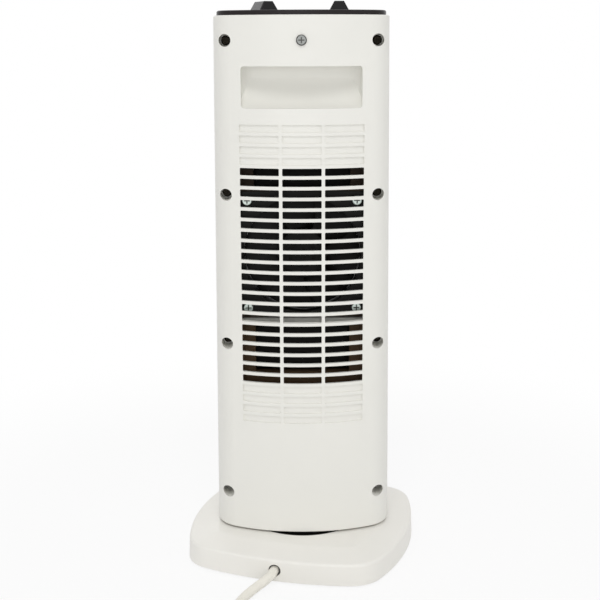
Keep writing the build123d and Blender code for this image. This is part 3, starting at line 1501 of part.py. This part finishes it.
nodes = {
    "base_cover": base_cover, "base_plate": base_plate, "base_screws": base_screws, "rubber_feet": rubber_feet,
    "pivot_ring": pivot_ring, "cord_grommet": cord_grommet, "cord_clamp": cord_clamp, "clamp_screws": clamp_screws,
    "inner_lead": inner_lead, "swing_motor": swing_motor, "swing_motor_screws": motor_screws,
    "crank_arm": crank, "crank_roller": crank_roller,
    "rear_cover": rear_cover, "front_cover": front_cover, "front_grille": front_grille,
    "cover_screws": cover_screws, "panel_screw": panel_screw, "top_panel": top_panel,
    "foot_plate": foot_plate, "foot_plate_screws": foot_screws, "spigot_retainer": spigot_retainer,
    "retainer_screws": retainer_screws, "terminal_block": terminal_block, "tip_over_switch": tip_over_switch,
    "tower_lead": tower_lead, "wiring": wiring,
    "fan_frame": fan_frame, "fan_stator": fan_stator, "fan_screws": fan_screws,
    "fan_rotor": fan_rotor, "fan_shaft": fan_shaft, "inlet_baffles": inlet_baffles,
    "air_duct": air_duct, "duct_screws": duct_screws, "element_fins": element_fins, "element_bars": element_bars,
    "element_stones": element_stones_set, "element_ends": element_ends, "element_tabs": element_tabs,
    "thermal_cutout": thermal_cutout, "thermal_fuse": thermal_fuse,
    "mode_switch": mode_switch, "thermostat": thermostat, "swing_switch": swing_switch, "pilot_lamp": pilot_lamp,
    "mode_knob": lambda: knob(-knob_x, 0), "mode_spindle": lambda: spindle(-knob_x),
    "thermostat_knob": lambda: knob(knob_x, thermostat_knob_turn), "thermostat_spindle": lambda: spindle(knob_x),
    "swing_button": swing_button,
    "power_cord": lambda: free_tube("power cord", cord_route), "cord_coil": cord_coil,
    "plug_lead": lambda: free_tube("plug lead", lead_route), "plug_body": plug_body, "plug_pins": plug_pins,
}
for name, make in nodes.items():
    made = make()
    pieces = made if isinstance(made, list) else [made]
    solids = [solid for piece in pieces for solid in piece.solids()]
    export_step(solids[0] if len(solids) == 1 else Compound(children=solids), f"parts/{name}.step")
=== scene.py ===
import json
import math

import bmesh
import bpy
import numpy as np
from mathutils import Matrix, Vector


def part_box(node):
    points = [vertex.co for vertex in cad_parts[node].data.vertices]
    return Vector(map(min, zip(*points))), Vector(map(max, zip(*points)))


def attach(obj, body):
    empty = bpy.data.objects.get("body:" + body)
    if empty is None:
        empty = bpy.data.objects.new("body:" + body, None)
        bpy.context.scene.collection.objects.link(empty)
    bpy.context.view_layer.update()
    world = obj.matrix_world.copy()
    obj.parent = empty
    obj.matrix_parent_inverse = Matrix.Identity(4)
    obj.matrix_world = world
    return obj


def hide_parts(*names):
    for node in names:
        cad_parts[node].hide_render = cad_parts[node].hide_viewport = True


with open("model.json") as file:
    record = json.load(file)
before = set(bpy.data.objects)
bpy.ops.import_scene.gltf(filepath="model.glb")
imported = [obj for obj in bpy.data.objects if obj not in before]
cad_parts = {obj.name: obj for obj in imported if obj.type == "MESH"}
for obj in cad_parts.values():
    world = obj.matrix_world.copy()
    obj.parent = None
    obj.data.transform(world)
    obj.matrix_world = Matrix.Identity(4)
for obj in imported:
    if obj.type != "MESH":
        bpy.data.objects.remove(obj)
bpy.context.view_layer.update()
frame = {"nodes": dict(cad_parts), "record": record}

nodes = frame["nodes"]
mm = 0.001
print("frame loaded:", len(nodes), "nodes")


# Camera and picture

cameraPlace = {
    "across": 0.0,        # metres from the tower's middle plane
    "away": 0.892,
    "height": 0.4216,
    "downDegrees": 12.5,
    "rollDegrees": -0.22,
    "lens": 66.0,
    "sensor": 36.0,
    "shiftX": -0.0039,
    "shiftY": -0.0247,
    "nearest": 0.01,
}


def makeCamera(place):
    data = bpy.data.cameras.new("photoCamera")
    data.lens = place["lens"]
    data.sensor_width = place["sensor"]
    data.shift_x = place["shiftX"]
    data.shift_y = place["shiftY"]
    data.clip_start = place["nearest"]
    camera = bpy.data.objects.new("photoCamera", data)
    tilt = math.radians(90 - place["downDegrees"])
    roll = math.radians(place["rollDegrees"])
    turn = Matrix.Rotation(math.pi, 4, "Z") @ Matrix.Rotation(tilt, 4, "X") @ Matrix.Rotation(roll, 4, "Z")
    spot = Vector((place["across"], place["away"], place["height"]))
    camera.matrix_world = Matrix.Translation(spot) @ turn
    bpy.context.scene.collection.objects.link(camera)
    bpy.context.scene.camera = camera


makeCamera(cameraPlace)
bpy.context.scene.view_settings.view_transform = "Standard"
print("camera placed")


# Mesh helpers

def meshPiece(name, points, faces, sharpDegrees=0.0):
    # points is an n by 3 array in metres and faces a list of index loops. Where an angle is given, the
    # faces are turned outwards and shaded smooth, and edges sharper than the angle stay crisp
    mesh = bpy.data.meshes.new(name)
    mesh.from_pydata(np.asarray(points, float).tolist(), [], faces)
    if sharpDegrees:
        shell = bmesh.new()
        shell.from_mesh(mesh)
        bmesh.ops.recalc_face_normals(shell, faces=shell.faces)
        shell.to_mesh(mesh)
        shell.free()
        mesh.shade_smooth()
        mesh.set_sharp_from_angle(angle=math.radians(sharpDegrees))
    mesh.update()
    piece = bpy.data.objects.new(name, mesh)
    bpy.context.scene.collection.objects.link(piece)
    return piece


def gridFaces(rows, columns):
    # Quads between neighbouring rows and columns of a grid, the last column joined to the first
    row = np.arange(rows - 1)[:, None] * columns
    column = np.arange(columns)[None, :]
    nextRow = row + columns
    nextColumn = (column + 1) % columns
    quads = np.stack([row + column, row + nextColumn, nextRow + nextColumn, nextRow + column], -1)
    return quads.reshape(-1, 4).tolist()


# Mains lead: the points of its runs are listed, those of its coil are worked out

lead = {
    "diameter": 7.4,
    "lengthMetres": 1.64,
    "exitReach": 89.5,        # from the swing axis to the hole's mouth
    "exitTurn": 15.5,         # degrees that the base is turned
    "holeHeight": 9.4,
    "exitRun": [(26.3, 95.0, 9.2), (37.5, 105.0, 5.4)],
    "floorRun": [(46.5, 117.5), (52.0, 134.0), (55.0, 152.0), (55.0, 172.0)],
    "coilCentre": (4.5, 201.0),
    "coilOuter": 49.5,
    "coilPitch": 8.2,
    "halfTurns": 6,
    "pointsPerHalfTurn": 8,
    "plugRun": [(-7.4, 0.0, 0.0), (-20.0, 0.0, 0.0), (-33.0, -1.5, 1.45)],      # from the end of the coil
    "sectionSteps": 6,
    "runSteps": 6,
    "curveOrder": 3,
}


def leadPoints(values):
    # Half circles spiral in on the floor, rise by one layer and spiral out again above. In each, X goes
    # with the cosine and Y with the sine of an angle that grows evenly, and Z rises evenly
    turn = math.radians(values["exitTurn"])
    floor = values["diameter"] / 2
    upper = floor + values["coilPitch"]
    centreX, centreY = values["coilCentre"]
    outer, halfTurns = values["coilOuter"], values["halfTurns"]
    reach = values["exitReach"]
    route = [(reach * math.sin(turn), reach * math.cos(turn), values["holeHeight"])] + values["exitRun"]
    route += [(x, y, floor) for x, y in values["floorRun"]]
    radii = outer - np.arange(halfTurns + 1) * values["coilPitch"] / 2
    turns = [(radius, floor) for radius in radii[:-1]] + [(radius, upper) for radius in radii[::-1]]
    steps = values["pointsPerHalfTurn"]
    x, z, side = centreX + outer, floor, 1
    for number, (radius, endZ) in enumerate(turns, 1):
        share = np.arange(1, steps + 1) / steps
        if number == len(turns):
            share = share[:steps // 2]        # the last is only a quarter, up to the plug's run
        middle = x - side * radius
        arcX = middle + side * radius * np.cos(share * math.pi)
        arcY = centreY + side * radius * np.sin(share * math.pi)
        arcZ = z + (endZ - z) * share
        route += list(zip(arcX, arcY, arcZ))
        x, z, side = x - side * 2 * radius, endZ, -side
    far = centreY + outer
    route += [(centreX + across, far + back, upper + up) for across, back, up in values["plugRun"]]
    return np.array(route) * mm


def makeLead(values):
    points = leadPoints(values)
    curve = bpy.data.curves.new("mainsLead", "CURVE")
    curve.dimensions = "3D"
    curve.bevel_depth = 1.0           # each point carries the real radius
    curve.bevel_resolution = values["sectionSteps"]
    curve.resolution_u = values["runSteps"]
    curve.use_fill_caps = True
    spline = curve.splines.new("NURBS")
    spline.points.add(len(points) - 1)
    flat = np.ones((len(points), 4))
    flat[:, :3] = points
    spline.points.foreach_set("co", flat.ravel())
    spline.points.foreach_set("radius", np.full(len(points), values["diameter"] / 2 * mm))
    spline.order_u = values["curveOrder"]
    spline.use_endpoint_u = True
    piece = bpy.data.objects.new("mainsLead", curve)
    bpy.context.scene.collection.objects.link(piece)
    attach(piece, "base")
    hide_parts("power_cord", "cord_coil", "plug_lead")
    return piece


mainsLead = makeLead(lead)
print("mains lead laid")


# Fan rotor: a moulded hub with seven wide twisted blades, of which the slots show glimpses

rotor = {
    "centreZ": 255.4,
    "hubRadius": 20.0,
    "hubBack": 26.4,
    "hubFront": 11.4,
    "hubWall": 1.6,
    "hubLip": 0.3,            # chamfer of the hub's front rim
    # the hub's rounded shoulder, as places in from the rim and down from the back
    "hubShoulder": [(0.0, 2.2), (0.6, 0.8), (2.0, 0.1), (4.0, 0.0)],
    # a ring groove and a dished middle, as radius and place down from the back
    "hubFace": [(11.0, 0.0), (10.6, 0.5), (9.4, 0.5), (9.0, 0.0), (4.2, 0.0), (3.4, 0.6)],
    "hubPole": 0.5,           # radius at which the hub's faces are closed with a flat cap
    "hubSteps": 72,
    "blades": 7,
    "tipRadius": 46.4,
    "rootSpan": 57.0,         # degrees that a blade covers at its root
    "tipSpan": 63.0,
    "tipSweep": 9.0,          # degrees by which the tip leads the root
    "middleY": 16.8,
    "depth": 10.0,            # how far a blade rises along Y at its root
    "tipFlattening": 0.4,     # share of that rise lost at the tip
    "camber": 1.8,
    "thickness": 1.7,
    "edgeShare": 0.2,         # share of the thickness left at the edges
    "edgePower": 0.6,
    "tipThinning": 0.35,
    "cornerTrim": 0.6,        # how far the tip's corners draw in
    "radialSteps": 14,
    "chordSteps": 18,
    "sharpDegrees": 32.0,
}


def turned(profile, steps, centreZ):
    # A profile of radius and Y swept round the fan's axis: X is the radius times the sine of the angle and
    # Z the radius times its cosine. A flat cap closes each end of the profile
    angle = np.arange(steps) * 2 * math.pi / steps
    radius, y = np.array(profile, float).T
    x = radius[:, None] * np.sin(angle)
    z = radius[:, None] * np.cos(angle) + centreZ
    points = np.stack([x, np.repeat(y[:, None], steps, 1), z], -1).reshape(-1, 3)
    last = (len(profile) - 1) * steps
    ends = [list(range(steps)), list(range(last, last + steps))]
    return points, gridFaces(len(profile), steps) + ends


def hubProfile(values):
    back, front, wall, outer = values["hubBack"], values["hubFront"], values["hubWall"], values["hubRadius"]
    lip, pole = values["hubLip"], values["hubPole"]
    face = values["hubFace"] + [(pole, values["hubFace"][-1][1])]
    profile = [(pole, back - wall), (outer - wall, back - wall), (outer - wall, front)]
    profile += [(outer - lip, front), (outer, front + lip)]
    profile += [(outer - inwards, back - down) for inwards, down in values["hubShoulder"]]
    return profile + [(radius, back - down) for radius, down in face]


def bladePoints(values, index):
    # Two parameters: along from root to tip, and loop over the chord and back on the other face. The
    # angle and Y grow evenly with the chord, Y less a bow that is a sine of the chord. Each face stands
    # off by half a thickness that swells as a power of that sine and falls evenly towards the tip. The
    # radius draws in at the tip's two corners, by high powers of both parameters
    along = np.linspace(0, 1, values["radialSteps"])[:, None]
    chord = np.linspace(0, 1, values["chordSteps"])
    loop = np.concatenate([chord, chord[-2:0:-1]])[None, :]
    face = np.concatenate([np.ones(len(chord)), -np.ones(len(chord) - 2)])[None, :]
    arch = np.sin(np.pi * loop)
    edge = values["edgeShare"]
    root = values["hubRadius"] - values["hubWall"] / 2
    radius = root + (values["tipRadius"] - root) * along
    radius = radius - values["cornerTrim"] * along ** 6 * (2 * np.abs(loop - 0.5)) ** 4
    span = values["rootSpan"] + (values["tipSpan"] - values["rootSpan"]) * along
    turn = index * 360 / values["blades"] + values["tipSweep"] * along ** 2
    angle = np.radians(turn + (loop - 0.5) * span)
    rise = values["depth"] * (1 - values["tipFlattening"] * along)
    half = values["thickness"] / 2 * (edge + (1 - edge) * arch ** values["edgePower"])
    half = half * (1 - values["tipThinning"] * along)
    y = values["middleY"] + (loop - 0.5) * rise - values["camber"] * (arch - 0.5) + face * half
    return np.stack([radius * np.sin(angle), y, radius * np.cos(angle) + values["centreZ"]], -1)


def endFaces(columns):
    # Closes a blade's end with a strip that joins its two faces point by point
    half = columns // 2
    strip = [[step, step + 1, columns - step - 1, columns - step] for step in range(1, half - 1)]
    return [[0, 1, columns - 1]] + strip + [[half - 1, half, half + 1]]


def makeRotor(values):
    points, faces = turned(hubProfile(values), values["hubSteps"], values["centreZ"])
    allPoints, allFaces = [points], faces
    count = len(points)
    for index in range(values["blades"]):
        grid = bladePoints(values, index)
        rows, columns = grid.shape[:2]
        allPoints.append(grid.reshape(-1, 3))
        allFaces += [[corner + count for corner in quad] for quad in gridFaces(rows, columns)]
        for first in (count, count + (rows - 1) * columns):
            allFaces += [[corner + first for corner in face] for face in endFaces(columns)]
        count += rows * columns
    piece = meshPiece("fanRotor", np.concatenate(allPoints) * mm, allFaces, values["sharpDegrees"])
    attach(piece, "fan")
    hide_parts("fan_rotor")
    return piece


fanRotor = makeRotor(rotor)
print("fan rotor made")


# Shader helper: a socket that takes part in sums and products

class Signal:
    def __init__(self, finish, socket):
        self.finish = finish
        self.socket = socket

    def math(self, operation, other=0.0, swapped=False):
        pair = (other, self) if swapped else (self, other)
        return self.finish.add("ShaderNodeMath", {"operation": operation}, {0: pair[0], 1: pair[1]})

    def __add__(self, other):
        return self.math("ADD", other)

    __radd__ = __add__

    def __sub__(self, other):
        return self.math("SUBTRACT", other)

    def __rsub__(self, other):
        return self.math("SUBTRACT", other, True)

    def __mul__(self, other):
        return self.math("MULTIPLY", other)

    __rmul__ = __mul__

    def above(self, edge, soft):
        # 0 below the edge, 1 above it, with a soft step between
        return self.finish.add("ShaderNodeMapRange", {"interpolation_type": "SMOOTHSTEP"},
                               {"Value": self, "From Min": edge - soft, "From Max": edge + soft})


class Finish:
    # One material: its tree, its shader and the nodes that feed them
    def __init__(self, name):
        self.material = bpy.data.materials.new(name)
        self.material.use_nodes = True
        self.tree = self.material.node_tree
        self.shader = self.tree.nodes["Principled BSDF"]
        self.place = self.add("ShaderNodeTexCoord", {}, {}, "Object")

    def add(self, kind, settings, values, output=0):
        node = self.tree.nodes.new(kind)
        for name, value in settings.items():
            setattr(node, name, value)
        for name, value in values.items():
            self.feed(node.inputs[name], value)
        return Signal(self, node.outputs[output])

    def feed(self, socket, value):
        if isinstance(value, Signal):
            value = value.socket
        if isinstance(value, bpy.types.NodeSocket):
            self.tree.links.new(value, socket)
        elif isinstance(value, (tuple, list)) and len(value) == 3 and socket.type == "RGBA":
            socket.default_value = (*value, 1.0)
        else:
            socket.default_value = value

    def noise(self, perMetre, detail, roughness, stretch=None):
        place = self.place
        if stretch:
            place = self.add("ShaderNodeMapping", {}, {"Vector": place, "Scale": stretch})
        return self.add("ShaderNodeTexNoise", {}, {"Vector": place, "Scale": perMetre, "Detail": detail,
                                                   "Roughness": roughness}, "Fac")

    def axis(self, letter):
        return self.add("ShaderNodeSeparateXYZ", {}, {"Vector": self.place}, letter)

    def mix(self, share, first, second):
        # The Mix node takes its two colours in sockets 6 and 7 and gives the mixed one in output 2
        return self.add("ShaderNodeMix", {"data_type": "RGBA"}, {0: share, 6: first, 7: second}, 2)

    def shape(self, height, distance):
        # Bump from a height signal; distance is the real height in metres
        bump = self.add("ShaderNodeBump", {}, {"Height": height, "Distance": distance, "Strength": 1.0})
        self.feed(self.shader.inputs["Normal"], bump)

    def set(self, **values):
        names = {"color": "Base Color", "roughness": "Roughness", "metal": "Metallic",
                 "specular": "Specular IOR Level"}
        for name, value in values.items():
            self.feed(self.shader.inputs[names[name]], value)

    def paint(self, share, color):
        # Lays a colour over what feeds the base colour, by a share from 0 to 1
        below = self.shader.inputs["Base Color"].links[0].from_socket
        self.set(color=self.mix(share, below, color))


def linear(red, green, blue):
    # Screen values from 0 to 255 as the linear colour that shows them
    share = np.array([red, green, blue]) / 255.0
    curved = ((share + 0.055) / 1.055) ** 2.4
    return tuple(np.where(share > 0.04045, curved, share / 12.92).tolist())


def darker(color, share):
    return tuple(channel * (1 - share) for channel in color)


def lighter(color, share):
    return tuple(min(1.0, channel * (1 + share)) for channel in color)


# Materials: each has fine marks, such as grain or scratches, and broad clouds of tone. Fine and broad are
# marks per metre, the sways say how far they move the roughness, and height is the fine marks' in mm

plasticMarks = {
    "fine": 2600.0,
    "broad": 18.0,
    "fineSway": 0.16,
    "broadSway": 0.12,
    "height": 0.02,
}

metalMarks = {
    "fine": 3000.0,
    "broad": 220.0,
    "fineSway": 0.2,
    "broadSway": 0.15,
    "height": 0.006,
    "rolledStretch": (1, 1, 14),
}

rubberMarks = {
    "fine": 1800.0,
    "broad": 60.0,
    "fineSway": 0.2,
    "height": 0.015,
}


def mouldedPlastic(name, color, spread=0.05, roughness=0.42, shine=0.5, **changes):
    # Spark-eroded grain, faint clouds of tone from the melt's flow, and roughness that follows both
    marks = {**plasticMarks, **changes}
    made = Finish(name)
    fine = made.noise(marks["fine"], detail=2.0, roughness=0.6)
    broad = made.noise(marks["broad"], detail=4.0, roughness=0.55)
    tone = made.mix(broad, darker(color, spread), lighter(color, spread))
    sway = (fine - 0.5) * marks["fineSway"] + (broad - 0.5) * marks["broadSway"]
    made.set(color=tone, roughness=roughness + sway, specular=shine)
    made.shape(fine, marks["height"] * mm)
    return made


def metal(name, color, roughness=0.3, rolled=False, spread=0.12):
    # Plated or rolled metal: fine scratches, cloudy tarnish and a little wear in the roughness
    marks = metalMarks
    made = Finish(name)
    stretch = marks["rolledStretch"] if rolled else None
    fine = made.noise(marks["fine"], detail=3.0, roughness=0.6, stretch=stretch)
    broad = made.noise(marks["broad"], detail=4.0, roughness=0.6)
    sway = (fine - 0.5) * marks["fineSway"] + (broad - 0.5) * marks["broadSway"]
    made.set(color=made.mix(broad, darker(color, spread), color), metal=1.0, roughness=roughness + sway)
    made.shape(fine, marks["height"] * mm)
    return made


def softRubber(name, color, roughness=0.55, spread=0.07):
    # Matte grain and faint clouds of tone
    marks = rubberMarks
    made = Finish(name)
    fine = made.noise(marks["fine"], detail=3.0, roughness=0.6)
    broad = made.noise(marks["broad"], detail=4.0, roughness=0.5)
    sway = (fine - 0.5) * marks["fineSway"]
    made.set(color=made.mix(broad, darker(color, spread), color), roughness=roughness + sway)
    made.shape(fine, marks["height"] * mm)
    return made


finishes = {
    "casing_white": mouldedPlastic("casingPlastic", linear(232, 231, 225), 0.025),
    # the base's white is lighter than the casing's as painted light on its upward-facing top
    "base_white": mouldedPlastic("basePlastic", linear(238, 236, 230), 0.02),
    "panel_dark": mouldedPlastic("panelPlastic", linear(34, 29, 30), 0.1, roughness=0.36, shine=0.18),
    "knob_black": mouldedPlastic("knobPlastic", linear(20, 20, 21), 0.1, roughness=0.24, shine=0.25,
                                 height=0.005),
    "grille_grey": mouldedPlastic("grillePlastic", linear(70, 70, 72), 0.08, roughness=0.4),
    "fan_black": mouldedPlastic("fanPlastic", linear(14, 13, 10), 0.2, roughness=0.42, shine=0.14),
    "duct_brown": mouldedPlastic("ductPlastic", linear(58, 38, 26), 0.12, roughness=0.5, shine=0.2),
    "screw_steel": metal("zincScrew", linear(158, 164, 160), 0.34),
    "screw_dark": metal("blackScrew", linear(44, 41, 35), 0.5),
    # the pivot ring's near black stands in for the shade in the gap under the tower's foot: painted shade
    "pivot_black": mouldedPlastic("pivotRingPlastic", linear(30, 27, 25), 0.1, roughness=0.5),
    "steel": metal("plainSteel", linear(170, 170, 170), 0.35, rolled=True),
    "aluminium": metal("finAluminium", linear(214, 214, 214), 0.3, rolled=True),
    "ceramic": mouldedPlastic("stoneCeramic", linear(186, 176, 158), 0.1, roughness=0.7, fine=900.0,
                              height=0.04),
    "brass_tabs": metal("tabBrass", linear(200, 172, 96), 0.3),
    "switch_dark": mouldedPlastic("switchPlastic", linear(45, 44, 44), 0.1, roughness=0.4),
    "terminal_cream": mouldedPlastic("terminalPlastic", linear(225, 216, 190), 0.05, roughness=0.45),
    "lamp_red": mouldedPlastic("lampLens", linear(196, 34, 24), 0.08, roughness=0.1, height=0.0),
    "button_white": mouldedPlastic("buttonPlastic", linear(226, 224, 219), 0.03, roughness=0.25,
                                   height=0.01),
    "cord_white": softRubber("leadRubber", linear(243, 240, 230), 0.45),
    "rubber_grey": softRubber("footRubber", linear(84, 84, 84), 0.7),
    "wire_insulation": softRubber("wireInsulation", linear(170, 40, 28), 0.4),
    "copper": metal("windingCopper", linear(190, 110, 62), 0.35),
    "pivot_cream": mouldedPlastic("pivotPlastic", linear(220, 214, 200), 0.04, roughness=0.3),
}


# Screw heads that the camera sees, and the trays behind the slots, have finishes of their own, which carry
# painted shade

panelScrew = {
    "material": "panelScrewZinc",
    "tone": linear(142, 144, 142),
    "hollow": linear(78, 78, 76),
}

fanScrews = {
    "material": "fanScrewZinc",
    "tone": linear(196, 206, 200),
    "hollow": linear(52, 52, 48),
    "headRadius": 4.2,
    "spacing": 87.0,
}

screwHead = {
    "spread": 0.3,
    "roughness": 0.38,
    # shares of the head's radius
    "rim": 0.84,
    "rimSoft": 0.1,
    "armHalf": 0.11,
    "armSoft": 0.055,
    "armReach": 0.56,
    "reachSoft": 0.06,
}

tray = {
    "tone": linear(76, 59, 42),
    # the colour painted as shade, deep inside the tray and above the fan's middle
    "paintedShade": linear(13, 10, 7),
    "shadeBelowY": 13.5,
    "belowSoft": 4.0,
    "shadeAboveZ": 250.0,
    "aboveSoft": 20.0,
    "aboveShare": 0.72,
}


def screwFinish(values, centre, headRadius, spacing=0.0):
    # Zinc head seen from behind, with painted shade on its rim and on the floor of its cross recess. With a
    #  spacing, four heads alike stand half of it to either side of the centre, above and below
    made = metal(values["material"], values["tone"], screwHead["roughness"], spread=screwHead["spread"])
    across = made.axis("X") - centre[0]
    up = made.axis("Z") - centre[1]
    if spacing:
        across = across.math("ABSOLUTE") - spacing / 2
        up = up.math("ABSOLUTE") - spacing / 2
    radius = (across * across + up * up).math("SQRT")
    nearest = across.math("ABSOLUTE").math("MINIMUM", up.math("ABSOLUTE"))

    def past(signal, edge, soft):
        return signal.above(headRadius * screwHead[edge], headRadius * screwHead[soft])

    cross = (1 - past(nearest, "armHalf", "armSoft")) * (1 - past(radius, "armReach", "reachSoft"))
    # painted shade on the head's rim and on the floor of its cross recess
    made.paint(past(radius, "rim", "rimSoft").math("MAXIMUM", cross), values["hollow"])
    return made


def trayFinish(values):
    # Heat-proof brown near the slots, with painted shade that turns it near black deep inside and darkens
    # it above the fan's middle
    made = mouldedPlastic("trayPlastic", values["tone"], 0.2, roughness=0.6, shine=0.15)
    deep = 1 - made.axis("Y").above(values["shadeBelowY"] * mm, values["belowSoft"] * mm)
    upper = made.axis("Z").above(values["shadeAboveZ"] * mm, values["aboveSoft"] * mm) * values["aboveShare"]
    made.paint(deep.math("MAXIMUM", upper), values["paintedShade"])
    return made


def dressNodes():
    slotOf = {part["node"]: part["material_slot"] for part in frame["record"]["subparts"]}
    low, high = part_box("panel_screw")
    middle = ((low[0] + high[0]) / 2, (low[2] + high[2]) / 2)
    fanMiddle = (0.0, rotor["centreZ"] * mm)
    own = {
        "panel_screw": screwFinish(panelScrew, middle, (high[2] - low[2]) / 2),
        "fan_screws": screwFinish(fanScrews, fanMiddle, fanScrews["headRadius"] * mm,
                                  fanScrews["spacing"] * mm),
        "inlet_baffles": trayFinish(tray),
    }
    for name, piece in nodes.items():
        piece.data.materials.clear()
        piece.data.materials.append(own.get(name, finishes[slotOf[name]]).material)


dressNodes()
mainsLead.data.materials.append(finishes["cord_white"].material)
fanRotor.data.materials.append(finishes["fan_black"].material)
print("materials given")


# Studio: soft lamps light the object, and what the camera sees behind it is white

studio = {
    "floorSize": 6.0,
    "floorDrop": 0.0002,     # keeps the floor clear of the feet's undersides
    "paper": (0.9, 0.9, 0.9),
    "paperRoughness": 0.9,
    "paperShine": 0.1,
    "surround": 0.66,        # strength of the light from all round
    "whiteFrom": 0.24,       # the floor's own colour shows this near to the object, in metres
    "whiteTo": 0.6,
    "whiteNear": 0.84,       # share of plain white right by the object
    "lamps": {
        # place, size and watts
        "keyLamp": ((0.15, 1.9, 0.35), 1.1, 4.7),
        "fillLamp": ((-1.2, 1.4, 0.5), 1.2, 1.2),
        "topLamp": ((0.0, 2.1, 2.9), 1.4, 26.0),
        "frontLamp": ((0.3, -1.8, 0.9), 1.2, 2.6),
    },
    "aim": (0.0, 0.0, 0.22),
}


def seenShare(made):
    # 1 for what the camera sees, straight, in a reflection or through glass, and 0 for light on things
    path = made.add("ShaderNodeLightPath", {}, {}).socket.node
    kinds = ("Is Camera Ray", "Is Glossy Ray", "Is Transmission Ray")
    camera, glossy, clear = [Signal(made, path.outputs[kind]) for kind in kinds]
    return camera.math("MAXIMUM", glossy).math("MAXIMUM", clear)


class Backdrop(Finish):
    # The same node methods on a world
    def __init__(self, name):
        self.material = bpy.data.worlds.new(name)
        self.material.use_nodes = True
        self.tree = self.material.node_tree
        self.shader = self.tree.nodes["Background"]


def makeWorld(values):
    world = Backdrop("studioWorld")
    seen = seenShare(world)
    world.feed(world.shader.inputs["Color"], (1.0, 1.0, 1.0))
    world.feed(world.shader.inputs["Strength"], seen * (1.0 - values["surround"]) + values["surround"])
    bpy.context.scene.world = world.material


def makeLamps(values):
    for name, (place, size, power) in values["lamps"].items():
        data = bpy.data.lights.new(name, "AREA")
        data.shape = "DISK"
        data.size = size
        data.energy = power
        lamp = bpy.data.objects.new(name, data)
        aim = (Vector(values["aim"]) - Vector(place)).to_track_quat("-Z", "Y").to_matrix().to_4x4()
        lamp.matrix_world = Matrix.Translation(place) @ aim
        bpy.context.scene.collection.objects.link(lamp)


def makeFloor(values):
    # White paper: near the object it takes shadow, further out it shows plain white to the camera
    half, low = values["floorSize"] / 2, -values["floorDrop"]
    corners = [(-half, -half, low), (half, -half, low), (half, half, low), (-half, half, low)]
    floor = meshPiece("studioFloor", corners, [(0, 1, 2, 3)])
    made = Finish("floorPaper")
    made.set(color=values["paper"], roughness=values["paperRoughness"], specular=values["paperShine"])
    x, y = made.axis("X"), made.axis("Y")
    away = (x * x + y * y).math("SQRT")
    far = made.add("ShaderNodeMapRange", {"interpolation_type": "SMOOTHSTEP"},
                   {"Value": away, "From Min": values["whiteFrom"], "From Max": values["whiteTo"],
                    "To Min": values["whiteNear"]})
    white = made.add("ShaderNodeEmission", {}, {})
    share = seenShare(made) * far
    blend = made.add("ShaderNodeMixShader", {}, {0: share, 1: made.shader.outputs[0], 2: white})
    made.feed(made.tree.nodes["Material Output"].inputs["Surface"], blend)
    floor.data.materials.append(made.material)


makeWorld(studio)
makeFloor(studio)
makeLamps(studio)
print("studio lit")
